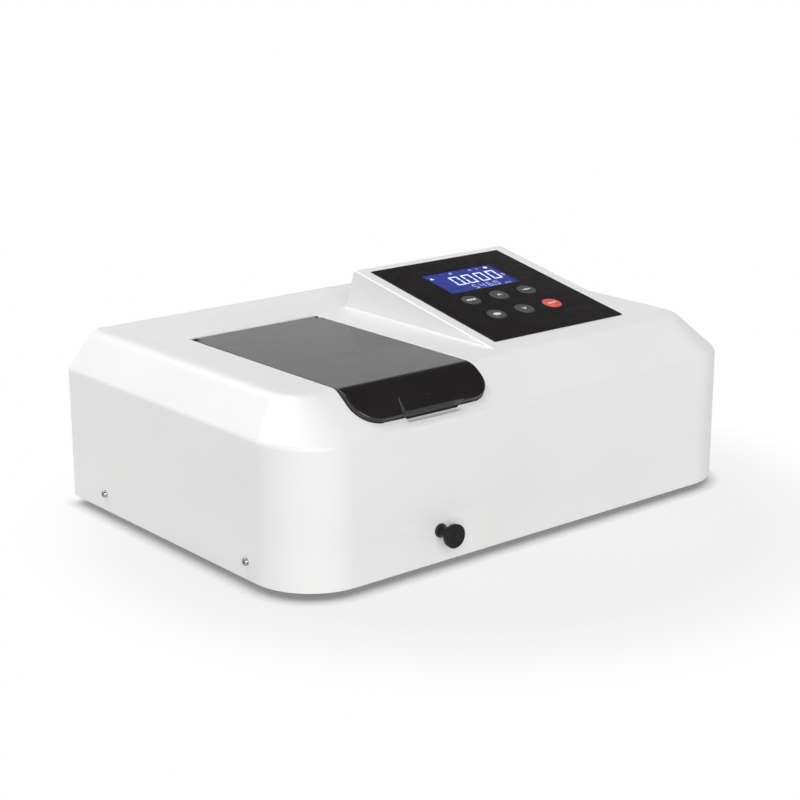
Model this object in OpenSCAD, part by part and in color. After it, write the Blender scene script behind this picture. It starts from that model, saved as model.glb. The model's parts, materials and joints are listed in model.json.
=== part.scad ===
// Single-beam visible spectrophotometer: white moulded housing with a raised display pod,
// dark sample lid with a cuvette carriage and pull rod below it, and the grating
// monochromator, lamp, detector, boards, motors and fan that sit inside.
// Millimetres. X right, Y back, Z up. Origin: centre of the footprint, on the bench.

/* [Body] */
// overall width of the housing
body_w = 460; // [456:1:470]
// overall depth of the housing, front wall to rear edge
body_d = 306; // [304:1:316]
// gap between the bench and the lower edge of the housing
foot_gap = 6; // [5:0.5:7]
// height of the upright walls, from the lower edge of the housing
wall_h = 107.6; // [106:0.2:110]
// height of the flat deck, from the lower edge of the housing
deck_h = 136.2; // [136:0.2:138]
// width of the sloped band along each side of the deck
side_run = 24.8; // [22:0.2:28]
// depth of the sloped band along the front of the deck
front_run = 40; // [38:0.5:44]
// radius of the two upright front corners
corner_r = 50; // [44:1:54]
// radius of the same corners where they reach the deck
deck_corner_r = 23; // [20:1:26]
// radius along the top of the upright walls
wall_edge_r = 5.5; // [4:0.5:7]
// radius along the edge of the deck
deck_edge_r = 14; // [10:1:16]
// thickness of the housing moulding
shell_t = 3; // [2.6:0.1:3.2]

/* [Display pod] */
// left side of the pod
pod_x0 = -2.6; // [-6:0.2:0]
// width of the pod
pod_w = 166.2; // [164:0.2:170]
// front edge of the pod face on the deck
pod_front_y = -104; // [-106:0.5:-102]
// angle of the pod face above level
pod_slope = 11; // [10:0.25:12]
// highest line of the pod
pod_top_y = 70.5; // [68:0.5:74]
// rear foot of the pod on the deck
pod_back_y = 83.5; // [81:0.5:87]
// width of the glossy panel
panel_w = 143; // [140:1:146]
// height of the glossy panel along the face
panel_h = 157; // [154:1:160]
// corner radius of the glossy panel
panel_r = 1; // [0.5:0.5:4]
// diameter of a round button
button_d = 16.5; // [15:0.5:17.5]
// distance between button columns
button_pitch = 31; // [30:0.5:31]
// distance between the two button rows
button_row = 31.6; // [30:0.2:33]
// travel of a button
button_travel = 0.5; // [0.3:0.1:0.5]
// how far the top of a button cap stands above the underside of the panel recess
cap_top = 1; // [0.7:0.1:1.6]

/* [Sample compartment] */
// centre line of the lid and of the carriage
lid_x = -102.3; // [-104:0.1:-101]
// width of the lid
lid_w = 124.8; // [122:0.2:126]
// rear edge of the lid
lid_back_y = 75.6; // [74:0.2:77]
// how far the lid stands proud of the front slope
lid_proud = 4; // [2:0.5:4.5]
// height of the raised grip at the lower edge of the lid
grip_h = 2.5; // [1:0.5:3.5]
// radius of the lower corners of the lid
lid_corner_r = 20; // [14:1:24]
// thickness of the lid
lid_t = 4; // [3.5:0.1:4]
// distance between neighbouring cuvette wells
well_pitch = 18; // [16:1:18]
// inside width of a square cuvette well
well_w = 12.7; // [12.6:0.05:12.8]
// height of the guide rods above the bench
rod_z = 32; // [30:0.5:34]
// centre line of the pull rod and its knob
pull_x = -100; // [-103:0.1:-99]
// height of the pull rod above the bench
pull_z = 31; // [30:0.5:33]
// height of the light beam above the bench
beam_z = 58; // [56:1:60]
// front-to-back position of the light beam through the compartment
beam_y = -20; // [-22:1:-18]

/* [Wavelength drive] */
// distance from the grating pivot to the centre of the ball on the sine arm
arm_len = 40; // [38:1:42]
// height of the lead screw axis above the bench
drive_z = 117; // [117:0.5:119]

/* [Fits] */
// radial clearance of a shaft that turns or slides
run_fit = 0.05; // [0.02:0.01:0.1]
// gap around a cover that lies in an opening
seam_gap = 0.4; // [0.3:0.1:0.6]

/* [Hidden] */
$fn = 64;
z_bottom = foot_gap;
z_wall = foot_gap + wall_h;
z_deck = foot_gap + deck_h;
rise = deck_h - wall_h;
slope_a = atan(rise / front_run);
front_y = -body_d / 2;
back_y = body_d / 2;
pod_x1 = pod_x0 + pod_w;
pod_cx = pod_x0 + pod_w / 2;
pod_top_z = z_deck + (pod_top_y - pod_front_y) * tan(pod_slope);
panel_t = 1.4;
panel_sink = 1;
panel_cx = 79.8;
panel_u = 90.4;
lcd_cx = 81;
lcd_u = 124;
lcd_w = 76;
lcd_h = 42;
button_u = 69.5;
button_cx = 79;
button_r = button_d / 2;
board_top = -10.4;
board_t = 1.6;
lid_x0 = lid_x - lid_w / 2;
lid_x1 = lid_x + lid_w / 2;
lid_u = 12;
slot_back_y = lid_back_y + 1.6;
hinge_r = 2.6;
bush_r = 4.4;
hinge_y = lid_back_y - hinge_r;
hinge_z = z_deck - hinge_r;
pin_r = 1.25;
ear_w = 4.1;
rim_x0 = lid_x - 69;
rim_x1 = lid_x + 69;
rim_floor = 6;
rim_slope_floor = 5;
tub_x0 = lid_x - 57.7;
tub_x1 = lid_x + 58.3;
tub_y0 = -106;
tub_y1 = 68;
tub_z0 = 16;
tub_t = 2;
tub_top = z_deck - rim_floor - 2;
rod_r = 3;
guide_dx = 22;
carriage_y0 = beam_y - 12;
carriage_y1 = beam_y + 3 * well_pitch + 12;
base_z = foot_gap + 1;
base_t = 2;
base_top = base_z + base_t;
flange_x = body_w / 2 - shell_t - 0.4;
screw_z = 20;
screw_back = 104;
screw_front = -90;
foot_x = 190;
foot_y = 118;
panel_y = back_y - 4;
panel_y1 = back_y - 2;
mono_x0 = -36;
mono_x1 = 134;
mono_y0 = -48;
mono_y1 = 92;
mono_z0 = 28;
mono_top = 96;
mono_t = 4;
cover_top = 99;
pivot_x = 0;
pivot_y = 14;
slit_x = -8;
lamp_y = 134;
wheel_z = beam_z + 18;
wheel_y = 98;
lens_r = 8;
ball_r = 3;
nut_gap = 0.1;
screw_y = pivot_y + arm_len + 12;
fan_x = -80;
fan_z = 70;
fan_pitch = 50;
fan_y0 = panel_y - 15;
inlet_x = -195;
inlet_z = 56;
rocker_x = -150;
rocker_z = 56;
rocker_y = panel_y;
rocker_tilt = 8;
fuse_z = 94;
serial_x = 165;
serial_z = 27;
jack_pitch = 24.99;
usb_x = 200;
usb_z = 25;
main_z = 18;
power_z = 18;

// ---- shared shapes -------------------------------------------------------------------

module box(lo, hi) {
    translate(lo) cube(hi - lo);
}

module rod_x(x0, x1, y, z, r) {
    translate([x0, y, z]) rotate([0, 90, 0]) cylinder(r = r, h = x1 - x0);
}

module rod_y(y0, y1, x, z, r) {
    translate([x, y1, z]) rotate([90, 0, 0]) cylinder(r = r, h = y1 - y0);
}

module rod_z(z0, z1, x, y, r) {
    translate([x, y, z0]) cylinder(r = r, h = z1 - z0);
}

// profile drawn in (y, z), carried along X
module along_x(x0, x1) {
    translate([x0, 0, 0]) rotate([90, 0, 90]) linear_extrude(x1 - x0) children();
}

// profile drawn in (x, z), carried along Y
module along_y(y0, y1) {
    translate([0, y1, 0]) rotate([90, 0, 0]) linear_extrude(y1 - y0) children();
}

// rectangle with rounded corners, centred
module rounded_plate(w, h, r, t) {
    linear_extrude(t) union() {
        square([w - 2 * r, h], center = true);
        square([w, h - 2 * r], center = true);
        for (sx = [-1, 1], sy = [-1, 1])
            translate([sx * (w / 2 - r), sy * (h / 2 - r)]) circle(r = r);
    }
}

function arc_points(cx, cy, r, a0, a1, steps) =
    [for (i = [0:steps]) let (a = a0 + (a1 - a0) * i / steps) [cx + r * cos(a), cy + r * sin(a)]];

// pod face frame: local x across, y up the face, z out of the face
module on_face() {
    translate([0, pod_front_y, z_deck]) rotate([pod_slope, 0, 0]) children();
}

// front slope frame: local y up the slope from the top of the wall, z out of the slope
module on_slope() {
    translate([0, front_y, z_wall]) rotate([slope_a, 0, 0]) children();
}

// point on the front slope, u up the slope and d below its surface
function slope_pt(u, d) =
    [front_y + u * cos(slope_a) + d * sin(slope_a), z_wall + u * sin(slope_a) - d * cos(slope_a)];

// where a level line at height z meets the slope line at depth d
function fold_y(z, d) = slope_pt(0, d)[0] + (z - slope_pt(0, d)[1]) / tan(slope_a);

// ---- housing form --------------------------------------------------------------------

// how far a wall has moved in at height z; run is its total shift between wall top and deck
function inset_at(z, t, run, rf, rd) =
    let (turn = atan(run / rise), zw = z_wall - t * tan(turn / 2), zd = z_deck - t,
         z1 = zw - rf * tan(turn / 2), z3 = zd - rd + rd * sin(turn),
         end = run + t * tan((90 - turn) / 2) + rd * tan((90 - turn) / 2))
    z <= z1 ? t
    : z < z1 + rf * sin(turn) ? t + rf - sqrt(rf * rf - (z - z1) * (z - z1))
    : z <= z3 || rd == 0 ? t + (z - zw) * tan(turn)
    : end - sqrt(max(0, rd * rd - (z - zd + rd) * (z - zd + rd)));

function corner_at(z, t) =
    max(4, corner_r - t - (corner_r - deck_corner_r) * min(1, max(0, (z - z_wall) / rise)));

// outline of the form at height z, from the rear right corner anticlockwise seen from above
function form_loop(z, t, rf, rd, y_end) =
    let (hx = body_w / 2 - inset_at(z, t, side_run, rf, rd),
         yf = front_y + inset_at(z, t, front_run, rf, rd),
         r = corner_at(z, t),
         outline = concat([[hx, y_end], [-hx, y_end]],
             arc_points(r - hx, yf + r, r, 180, 270, 16),
             arc_points(hx - r, yf + r, r, 270, 360, 16)))
    [for (p = outline) [p[0], p[1], z]];

// solid body form, t inside the outer skin, built up from level outlines
module body_form(z0, t, rf, rd, y_end) {
    turn_s = atan(side_run / rise);
    turn_f = atan(front_run / rise);
    wall_lo = z_wall - (rf + t) * tan(turn_f / 2);
    wall_hi = rf > 0 ? z_wall + rf * 0.35 : z_wall - t * tan(turn_s / 2);
    deck_lo = z_deck - t - rd * (1 - sin(turn_s));
    levels = concat([z0],
        rf > 0 ? [for (k = [0:6]) wall_lo + (wall_hi - wall_lo) * k / 6] : [wall_lo, wall_hi],
        rd > 0 ? [for (k = [0:6]) deck_lo + (z_deck - t - deck_lo) * (1 - pow(1 - k / 6, 2))]
            : [z_deck - t]);
    loops = [for (z = levels) form_loop(z, t, rf, rd, y_end)];
    n = len(loops[0]);
    top = (len(levels) - 1) * n;
    sides = [for (k = [0:len(levels) - 2], i = [0:n - 1])
        let (lo = k * n, hi = lo + n, j = (i + 1) % n)
        each [[lo + i, hi + i, hi + j], [lo + i, hi + j, lo + j]]];
    polyhedron(points = [for (l = loops) each l],
        faces = concat([[for (i = [0:n - 1]) i], [for (i = [n - 1:-1:0]) top + i]], sides));
}

module pod_block() {
    along_x(pod_x0, pod_x1) polygon([[pod_front_y, z_deck - 1], [pod_back_y, z_deck - 1],
        [pod_back_y, z_deck], [pod_top_y, pod_top_z], [pod_front_y, z_deck]]);
}

module pod_hollow() {
    lean = (pod_back_y - pod_top_y) / (pod_top_z - z_deck);
    y_in = pod_front_y + 10;
    back_in = pod_back_y - shell_t / cos(atan(lean));
    top_in = (back_in + lean * pod_front_y * tan(pod_slope) + lean * shell_t / cos(pod_slope))
        / (1 + lean * tan(pod_slope));
    skin_z = z_deck - shell_t / cos(pod_slope);
    low = z_deck - shell_t - 1;
    along_x(pod_x0 + shell_t, pod_x1 - shell_t) polygon([[y_in, low],
        [back_in + lean * (z_deck - low), low],
        [top_in, skin_z + (top_in - pod_front_y) * tan(pod_slope)],
        [y_in, skin_z + (y_in - pod_front_y) * tan(pod_slope)]]);
}

// rounds off the two lower corners of a plate lying in the front slope
module slope_corners(x0, x1, u, r) {
    on_slope() for (side = [0, 1]) {
        cx = side == 0 ? x0 + r : x1 - r;
        difference() {
            box([side == 0 ? x0 - 1 : cx, u - 1, -12], [side == 0 ? cx : x1 + 1, u + r, 12]);
            translate([cx, u + r, -13]) cylinder(r = r, h = 26);
        }
    }
}

// opening in the housing for the lid
module lid_slot() {
    low = z_deck - shell_t - 0.5;
    depth = shell_t + 0.5;
    difference() {
        along_x(lid_x0 - seam_gap, lid_x1 + seam_gap) polygon([[slot_back_y, low],
            [slot_back_y, z_deck + 10], [front_y, z_deck + 10], slope_pt(lid_u - 0.5, -9),
            slope_pt(lid_u - 0.5, depth), [fold_y(low, depth), low]]);
        slope_corners(lid_x0 - seam_gap, lid_x1 + seam_gap, lid_u - 0.5, lid_corner_r + seam_gap);
    }
}

function button_x(col) = button_cx + (col - 1) * button_pitch;
function button_v(row) = button_u + (0.5 - row) * button_row;

module housing_shell() {
    color([0.95, 0.95, 0.94]) union() {
        difference() {
            union() {
                body_form(z_bottom, 0, wall_edge_r, deck_edge_r, back_y);
                pod_block();
            }
            body_form(z_bottom - 1, shell_t, 0, 0, back_y + 5);
            pod_hollow();
            lid_slot();
            // finger notch under the lip of the lid
            on_slope() translate([lid_x + 2, lid_u, 6]) rotate([0, 90, 0])
                cylinder(r = 8, h = 50, center = true);
            // recess and openings in the pod face
            on_face() {
                translate([panel_cx, panel_u, -panel_sink])
                    rounded_plate(panel_w + 0.4, panel_h + 0.4, panel_r + 0.2, 10);
                box([lcd_cx - lcd_w / 2 - 0.5, lcd_u - lcd_h / 2 - 0.5, -shell_t - 1],
                    [lcd_cx + lcd_w / 2 + 0.5, lcd_u + lcd_h / 2 + 0.5, 1]);
                for (col = [0:2], row = [0, 1])
                    rod_z(-shell_t - 1, 1, button_x(col), button_v(row), button_r + 0.35);
            }
            rod_y(front_y - 1, front_y + shell_t + 1, pull_x, pull_z, bush_r + 0.02);
            for (sx = [-1, 1], y = [screw_front, screw_back])
                rod_x(sx * body_w / 2 - 5, sx * body_w / 2 + 5, y, screw_z, 2.2);
        }
        // posts for the keypad board, each with a pilot hole
        on_face() for (x = [28, 132], v = [36, 154]) difference() {
            rod_z(board_top, -shell_t + 0.5, x, v, 3);
            translate([x, v, board_top - 1]) cylinder(r = 1.25, h = 6.1, $fn = 32);
        }
    }
}

// ---- chassis -------------------------------------------------------------------------

module base_plate() {
    hx = flange_x;
    yf = front_y + shell_t + 0.4;
    r = corner_r - shell_t - 0.4;
    color([0.62, 0.63, 0.65]) difference() {
        union() {
            translate([0, 0, base_z]) linear_extrude(base_t) polygon(concat(
                [[hx, panel_y], [-hx, panel_y]],
                arc_points(r - hx, yf + r, r, 180, 270, 16),
                arc_points(hx - r, yf + r, r, 270, 360, 16)));
            for (sx = [-1, 1]) {
                box([sx * hx - (sx > 0 ? 2 : 0), screw_front - 8, base_z],
                    [sx * hx + (sx > 0 ? 0 : 2), panel_y - 6, 32]);
                for (y = [screw_front, screw_back])
                    rod_x(sx > 0 ? hx - 6 : -hx, sx > 0 ? hx : 6 - hx, y, screw_z, 4);
            }
            box([-212, panel_y - 2, base_z], [212, panel_y, 24]);
        }
        for (sx = [-1, 1], y = [screw_front, screw_back])
            rod_x(sx * hx - 8, sx * hx + 8, y, screw_z, 2.02);
        for (sx = [-1, 1], sy = [-1, 1]) rod_z(0, 20, sx * foot_x, sy * foot_y, 2.2);
        for (x = [-200, -70, 70, 200]) rod_y(panel_y - 5, panel_y + 5, x, 15, 1.52);
        // step in the rear upstand below the data sockets
        box([serial_x - 17, panel_y - 3, 18], [usb_x + 8, panel_y + 1, 30]);
        // vent slots below the lamp and below the power board
        for (i = [0:5]) {
            box([-32 + i * 8, 124, 0], [-28 + i * 8, 144, 20]);
            box([-215 + i * 14, 92, 0], [-210 + i * 14, 112, 20]);
        }
    }
}

module rubber_feet() {
    color([0.1, 0.1, 0.1]) for (sx = [-1, 1], sy = [-1, 1])
        translate([sx * foot_x, sy * foot_y, 0]) difference() {
            rotate_extrude() polygon([[0, 0], [11.5, 0], [12.5, 1], [13, base_z], [0, base_z]]);
            translate([0, 0, -1]) cylinder(r = 2.2, h = 20);
            translate([0, 0, -1]) cylinder(r = 4.6, h = 4);
        }
}

module chassis_screws() {
    color([0.7, 0.71, 0.73]) {
        for (sx = [-1, 1], sy = [-1, 1]) translate([sx * foot_x, sy * foot_y, 0]) {
            translate([0, 0, 1]) cylinder(r = 4, h = 2);
            translate([0, 0, 2.5]) cylinder(r = 2, h = 10);
            translate([0, 0, base_top]) cylinder(r = 4, h = 3.2, $fn = 6);
        }
        for (x = [-200, -70, 70, 200]) {
            rod_y(panel_y1, panel_y1 + 1.8, x, 15, 2.8);
            rod_y(panel_y - 6, panel_y1 + 1, x, 15, 1.5);
        }
        for (x = [mono_x0 + 5, mono_x1 - 5], y = [mono_y0 + 5, mono_y1 - 5]) {
            rod_z(cover_top, cover_top + 1.8, x, y, 2.8);
            rod_z(mono_top - 8, cover_top + 1, x, y, 1.5);
        }
        on_face() for (x = [28, 132], v = [36, 154]) {
            rod_z(board_top - board_t - 1.8, board_top - board_t, x, v, 2.6);
            rod_z(board_top - board_t - 1, board_top + 5, x, v, 1.2);
        }
    }
}

module shell_screws() {
    color([0.8, 0.8, 0.82]) for (sx = [-1, 1], y = [screw_front, screw_back])
        translate([sx * body_w / 2, y, screw_z]) rotate([0, sx * 90, 0]) difference() {
            union() {
                rotate_extrude() polygon(concat([[0, 0], [3, 0], [3, 1]],
                    arc_points(1.6, 1, 1.4, 0, 90, 6), [[0, 2.4]]));
                translate([0, 0, -9]) cylinder(r = 2, h = 9.5);
            }
            for (a = [0, 90]) rotate([0, 0, a]) translate([-1.9, -0.4, 1.2]) cube([3.8, 0.8, 2]);
        }
}

module rear_panel() {
    t = shell_t + 0.4;
    hx = flange_x;
    turn = atan(side_run / rise);
    zw = z_wall - t * tan(turn / 2);
    xd = body_w / 2 - side_run - t * tan((90 - turn) / 2);
    zd = z_deck - t;
    color([0.9, 0.9, 0.88]) difference() {
        along_y(panel_y, panel_y1) polygon([[-hx, base_z], [hx, base_z], [hx, zw], [xd, zd],
            [-xd, zd], [-hx, zw]]);
        rod_y(panel_y - 5, panel_y + 5, fan_x, fan_z, 28);
        for (sx = [-1, 1], sz = [-1, 1])
            rod_y(panel_y - 5, panel_y + 5, fan_x + sx * fan_pitch / 2, fan_z + sz * fan_pitch / 2, 2);
        box([inlet_x - 14, 140, inlet_z - 10.2], [inlet_x + 14, 160, inlet_z + 10.2]);
        for (sx = [-1, 1]) rod_y(panel_y - 5, panel_y + 5, inlet_x + sx * 20, inlet_z, 1.6);
        box([rocker_x - 8.7, 140, rocker_z - 13.2], [rocker_x + 8.7, 160, rocker_z + 13.2]);
        rod_y(panel_y - 5, panel_y + 5, inlet_x, fuse_z, 6.3);
        box([serial_x - 9.4, 140, serial_z - 5], [serial_x + 9.4, 160, serial_z + 5]);
        for (sx = [-1, 1]) rod_y(panel_y - 5, panel_y + 5, serial_x + sx * jack_pitch / 2, serial_z, 1.7);
        box([usb_x - 6.3, 140, usb_z - 5.8], [usb_x + 6.3, 160, usb_z + 5.8]);
        for (x = [-200, -70, 70, 200]) rod_y(panel_y - 5, panel_y + 5, x, 15, 1.7);
        for (i = [0:7]) box([-32 + i * 7, 140, 100], [-28.5 + i * 7, 160, 126]);
        for (i = [0:9]) box([70 + i * 7, 140, 80], [73.5 + i * 7, 160, 112]);
    }
}

// ---- pod face ------------------------------------------------------------------------

module overlay_panel() {
    color([0.06, 0.06, 0.07]) on_face() difference() {
        translate([panel_cx, panel_u, -panel_sink]) rounded_plate(panel_w, panel_h, panel_r, panel_t);
        box([lcd_cx - lcd_w / 2, lcd_u - lcd_h / 2, -3], [lcd_cx + lcd_w / 2, lcd_u + lcd_h / 2, 3]);
        for (col = [0:2], row = [0, 1]) rod_z(-3, 3, button_x(col), button_v(row), button_r + 0.3);
    }
}

module lcd_window() {
    color([0.5, 0.6, 0.8, 0.5]) on_face()
        box([lcd_cx - lcd_w / 2 + 0.05, lcd_u - lcd_h / 2 + 0.05, panel_t - panel_sink - 0.5],
            [lcd_cx + lcd_w / 2 - 0.05, lcd_u + lcd_h / 2 - 0.05, panel_t - panel_sink - 0.1]);
}

module lcd_module() {
    color([0.15, 0.25, 0.7]) on_face() {
        box([lcd_cx - lcd_w / 2 - 4, lcd_u - lcd_h / 2 - 5, board_top],
            [lcd_cx + lcd_w / 2 + 4, lcd_u + lcd_h / 2 + 5, -shell_t - 0.1]);
        box([lcd_cx - lcd_w / 2 + 0.1, lcd_u - lcd_h / 2 + 0.1, -shell_t - 1],
            [lcd_cx + lcd_w / 2 - 0.1, lcd_u + lcd_h / 2 - 0.1, panel_t - panel_sink - 0.6]);
    }
}

module keypad_board() {
    color([0.1, 0.35, 0.18]) on_face() {
        difference() {
            box([24, 32, board_top - board_t], [136, 158, board_top]);
            for (x = [28, 132], v = [36, 154]) rod_z(-20, 0, x, v, 1.6);
        }
        for (col = [0:2], row = [0, 1]) translate([button_x(col), button_v(row), 0]) {
            box([-3, -3, board_top - 0.2], [3, 3, -7]);
            rod_z(-7.5, -5.05 - button_travel - 0.05, 0, 0, 1.75);
        }
        box([120, 45, board_top - board_t - 4], [130, 75, board_top - board_t + 0.2]);
    }
}

module ribbon_cable() {
    color([0.75, 0.75, 0.74]) {
        on_face() box([121, 46, board_top - board_t - 5], [139, 74, board_top - board_t - 4]);
        along_x(138, 139) polygon([[-56, 29], [-29, 29], [-29, 140.5], [-56, 135]]);
        box([138, -56, 28], [158, -29, 29]);
    }
}

// round cap; local z is the face normal
module button_cap() {
    translate([0, 0, -5.05]) cylinder(r = button_r + 1.5, h = 2);
    rotate_extrude() polygon(concat([[0, -3.2], [button_r, -3.2]],
        arc_points(button_r - 0.6, cap_top - 0.6, 0.6, 0, 85, 5), [[0, cap_top - 0.1]]));
}

module place_button(col, row) {
    on_face() translate([button_x(col), button_v(row), 0]) button_cap();
}

module button_mode() {
    color([0.25, 0.25, 0.27]) place_button(0, 0);
}

module button_up() {
    color([0.25, 0.25, 0.27]) place_button(1, 0);
}

module button_zero() {
    color([0.25, 0.25, 0.27]) place_button(2, 0);
}

module button_print() {
    color([0.25, 0.25, 0.27]) place_button(0, 1);
}

module button_down() {
    color([0.25, 0.25, 0.27]) place_button(1, 1);
}

module button_enter() {
    color([0.75, 0.2, 0.18]) place_button(2, 1);
}

// ---- sample compartment --------------------------------------------------------------

module sample_lid() {
    fold_r = 26;
    edge_r = 1;
    fy = fold_y(z_deck, -lid_proud);
    under = z_deck - lid_t;
    depth = 2.5;
    outer = slope_pt(lid_u + edge_r, edge_r - lid_proud);
    inner = slope_pt(lid_u + edge_r, depth - edge_r);
    color([0.13, 0.12, 0.12]) {
        difference() {
            along_x(lid_x0, lid_x1) polygon(concat(
                arc_points(hinge_y, hinge_z, hinge_r, -30, 90, 12),
                arc_points(fy + fold_r * tan(slope_a / 2), z_deck - fold_r, fold_r, 90, 90 + slope_a, 12),
                arc_points(outer[0], outer[1], edge_r, 90 + slope_a, 180 + slope_a, 4),
                arc_points(inner[0], inner[1], edge_r, 180 + slope_a, 270 + slope_a, 4),
                [[fold_y(under, depth), under], [hinge_y - hinge_r, under]],
                arc_points(hinge_y, hinge_z, hinge_r, 213, 270, 6)));
            slope_corners(lid_x0, lid_x1, lid_u, lid_corner_r);
            // room for the hinge ears
            for (sx = [-1, 1]) box([lid_x + sx * (lid_w / 2 - 2.1) - 2.3, hinge_y - 7, z_deck - 10],
                [lid_x + sx * (lid_w / 2 - 2.1) + 2.3, hinge_y + 10, z_deck + 5]);
            rod_x(lid_x0 - 1, lid_x0 + 16, hinge_y, hinge_z, pin_r);
            rod_x(lid_x1 - 16, lid_x1 + 1, hinge_y, hinge_z, pin_r);
        }
        lid_grip();
    }
}

// raised grip: a ramp that grows out of the flap and ends at its lower edge, wider at the bottom
module lid_grip() {
    grip_u = 27.4;
    foot_u = lid_u - 0.3;
    grip_x = lid_x + 1.5;
    intersection() {
        along_x(lid_x - 40, lid_x + 40) polygon([slope_pt(grip_u, 0.5), slope_pt(grip_u, -lid_proud),
            slope_pt(foot_u + 0.8, -lid_proud - grip_h), slope_pt(foot_u, 0.8 - lid_proud - grip_h),
            slope_pt(foot_u, -0.5), slope_pt(foot_u + 2, 0.5)]);
        on_slope() translate([grip_x, 0, -2]) linear_extrude(height = 12)
            polygon([[-28.5, foot_u - 1], [28.5, foot_u - 1], [22.5, grip_u + 1], [-22.5, grip_u + 1]]);
    }
}

module lid_hinge_pins() {
    color([0.6, 0.6, 0.62]) {
        rod_x(lid_x0 - 0.2, lid_x0 + 15, hinge_y, hinge_z, pin_r);
        rod_x(lid_x1 - 15, lid_x1 + 0.2, hinge_y, hinge_z, pin_r);
    }
}

// tray under the deck that carries the lid: side walls, sloped apron, floor with the opening
module compartment_rim() {
    gap = shell_t + 0.3;
    low = rim_floor + 2;
    zg = z_deck - gap;
    zf = z_deck - rim_floor;
    zl = z_deck - low;
    color([0.12, 0.12, 0.13]) {
        difference() {
            along_x(rim_x0, rim_x1) polygon([[slot_back_y + 5, zl], [slot_back_y + 5, zg],
                [fold_y(zg, gap), zg], slope_pt(5, gap), slope_pt(5, low), [fold_y(zl, low), zl]]);
            along_x(rim_x0 + 4, rim_x1 - 4) polygon([[slot_back_y + 1, zf], [slot_back_y + 1, zg + 1],
                [fold_y(zg + 1, gap - 1), zg + 1], slope_pt(lid_u - 2, gap - 1),
                slope_pt(lid_u - 2, rim_slope_floor), [fold_y(zf, rim_slope_floor), zf]]);
            box([tub_x0 + tub_t, tub_y0 + 8, zl - 5], [tub_x1 - tub_t, tub_y1 - 6, zf + 5]);
        }
        // hinge ears at the rear corners of the lid
        for (sx = [-1, 1]) translate([lid_x + sx * (lid_w / 2 - 2.1), 0, 0]) difference() {
            along_x(-ear_w / 2, ear_w / 2) polygon(concat([[hinge_y - 5, zf - 1], [hinge_y + 2.4, zf - 1]],
                arc_points(hinge_y, hinge_z, 2.4, 0, 130, 8)));
            rod_x(-5, 5, hinge_y, hinge_z, pin_r + run_fit);
        }
    }
}

module lid_seal() {
    zf = z_deck - rim_floor;
    color([0.08, 0.08, 0.08]) difference() {
        box([tub_x0 - 3, tub_y0 + 4, zf], [tub_x1 + 3, tub_y1 - 2.5, zf + rim_floor - lid_t]);
        box([tub_x0 + tub_t, tub_y0 + 8, zf - 1], [tub_x1 - tub_t, tub_y1 - 6, zf + 5]);
    }
}

module sample_tub() {
    color([0.1, 0.1, 0.1]) difference() {
        union() {
            box([tub_x0, tub_y0, tub_z0], [tub_x1, tub_y1, tub_top]);
            for (x = [tub_x0 + 6, tub_x1 - 6], y = [tub_y0 + 6, tub_y1 - 6])
                rod_z(base_top, tub_z0 + 1, x, y, 5);
        }
        box([tub_x0 + tub_t, tub_y0 + tub_t, tub_z0 + tub_t], [tub_x1 - tub_t, tub_y1 - tub_t, 200]);
        rod_x(tub_x0 - 5, tub_x1 + 5, beam_y, beam_z, 7.55);
        rod_y(tub_y0 - 5, tub_y0 + 5, pull_x, pull_z, 3.6);
        for (sx = [-1, 1]) rod_y(tub_y0 - 5, tub_y1 + 5, lid_x + sx * guide_dx, rod_z, rod_r + 0.01);
        rod_x(tub_x0 - 5, tub_x0 + 5, carriage_y0 + 7, rod_z, 4.01);
    }
}

module beam_windows() {
    color([0.8, 0.9, 0.95, 0.4]) {
        rod_x(tub_x0, tub_x0 + tub_t, beam_y, beam_z, 7.5);
        rod_x(tub_x1 - tub_t, tub_x1, beam_y, beam_z, 7.5);
    }
}

module guide_rods() {
    color([0.75, 0.76, 0.78]) for (sx = [-1, 1])
        rod_y(tub_y0 - 1, tub_y1 + 1, lid_x + sx * guide_dx, rod_z, rod_r);
}

module rod_bush() {
    color([0.08, 0.08, 0.08]) difference() {
        union() {
            rod_y(front_y - 1.5, front_y, pull_x, pull_z, bush_r + 1);
            rod_y(front_y - 0.5, front_y + shell_t + 2, pull_x, pull_z, bush_r);
        }
        rod_y(front_y - 5, front_y + 10, pull_x, pull_z, rod_r + run_fit);
    }
}

// spring plunger whose ball clicks into the notches of the carriage
module detent_plunger() {
    x_tip = lid_x - 28.1;
    color([0.7, 0.7, 0.72]) {
        rod_x(tub_x0 - 6, x_tip - 2, carriage_y0 + 7, rod_z, 4);
        rod_x(tub_x0 - 8, tub_x0 - 2, carriage_y0 + 7, rod_z, 6);
        translate([x_tip - 3, carriage_y0 + 7, rod_z]) sphere(r = 3);
    }
}

module cuvette_carriage() {
    color([0.16, 0.16, 0.17]) difference() {
        union() {
            box([lid_x - 28, carriage_y0, rod_z - 6], [lid_x + 28, carriage_y1, rod_z + 6]);
            box([lid_x - 9.5, carriage_y0, rod_z + 5], [lid_x + 9.5, carriage_y1, rod_z + 42]);
        }
        for (k = [0:3]) {
            y = beam_y + k * well_pitch;
            box([lid_x - well_w / 2, y - well_w / 2, rod_z + 10],
                [lid_x + well_w / 2, y + well_w / 2, rod_z + 60]);
            box([lid_x - 20, y - 4, beam_z - 9], [lid_x + 20, y + 4, beam_z + 9]);
            rod_z(0, 100, lid_x - 29, carriage_y0 + 7 + k * well_pitch, 2.5);
        }
        for (sx = [-1, 1]) rod_y(-200, 200, lid_x + sx * guide_dx, rod_z, rod_r + run_fit);
        rod_y(carriage_y0 - 1, carriage_y0 + 10, pull_x, pull_z, rod_r);
    }
}

module pull_rod() {
    color([0.75, 0.76, 0.78]) rod_y(front_y - 13, carriage_y0 + 10, pull_x, pull_z, rod_r);
}

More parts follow.
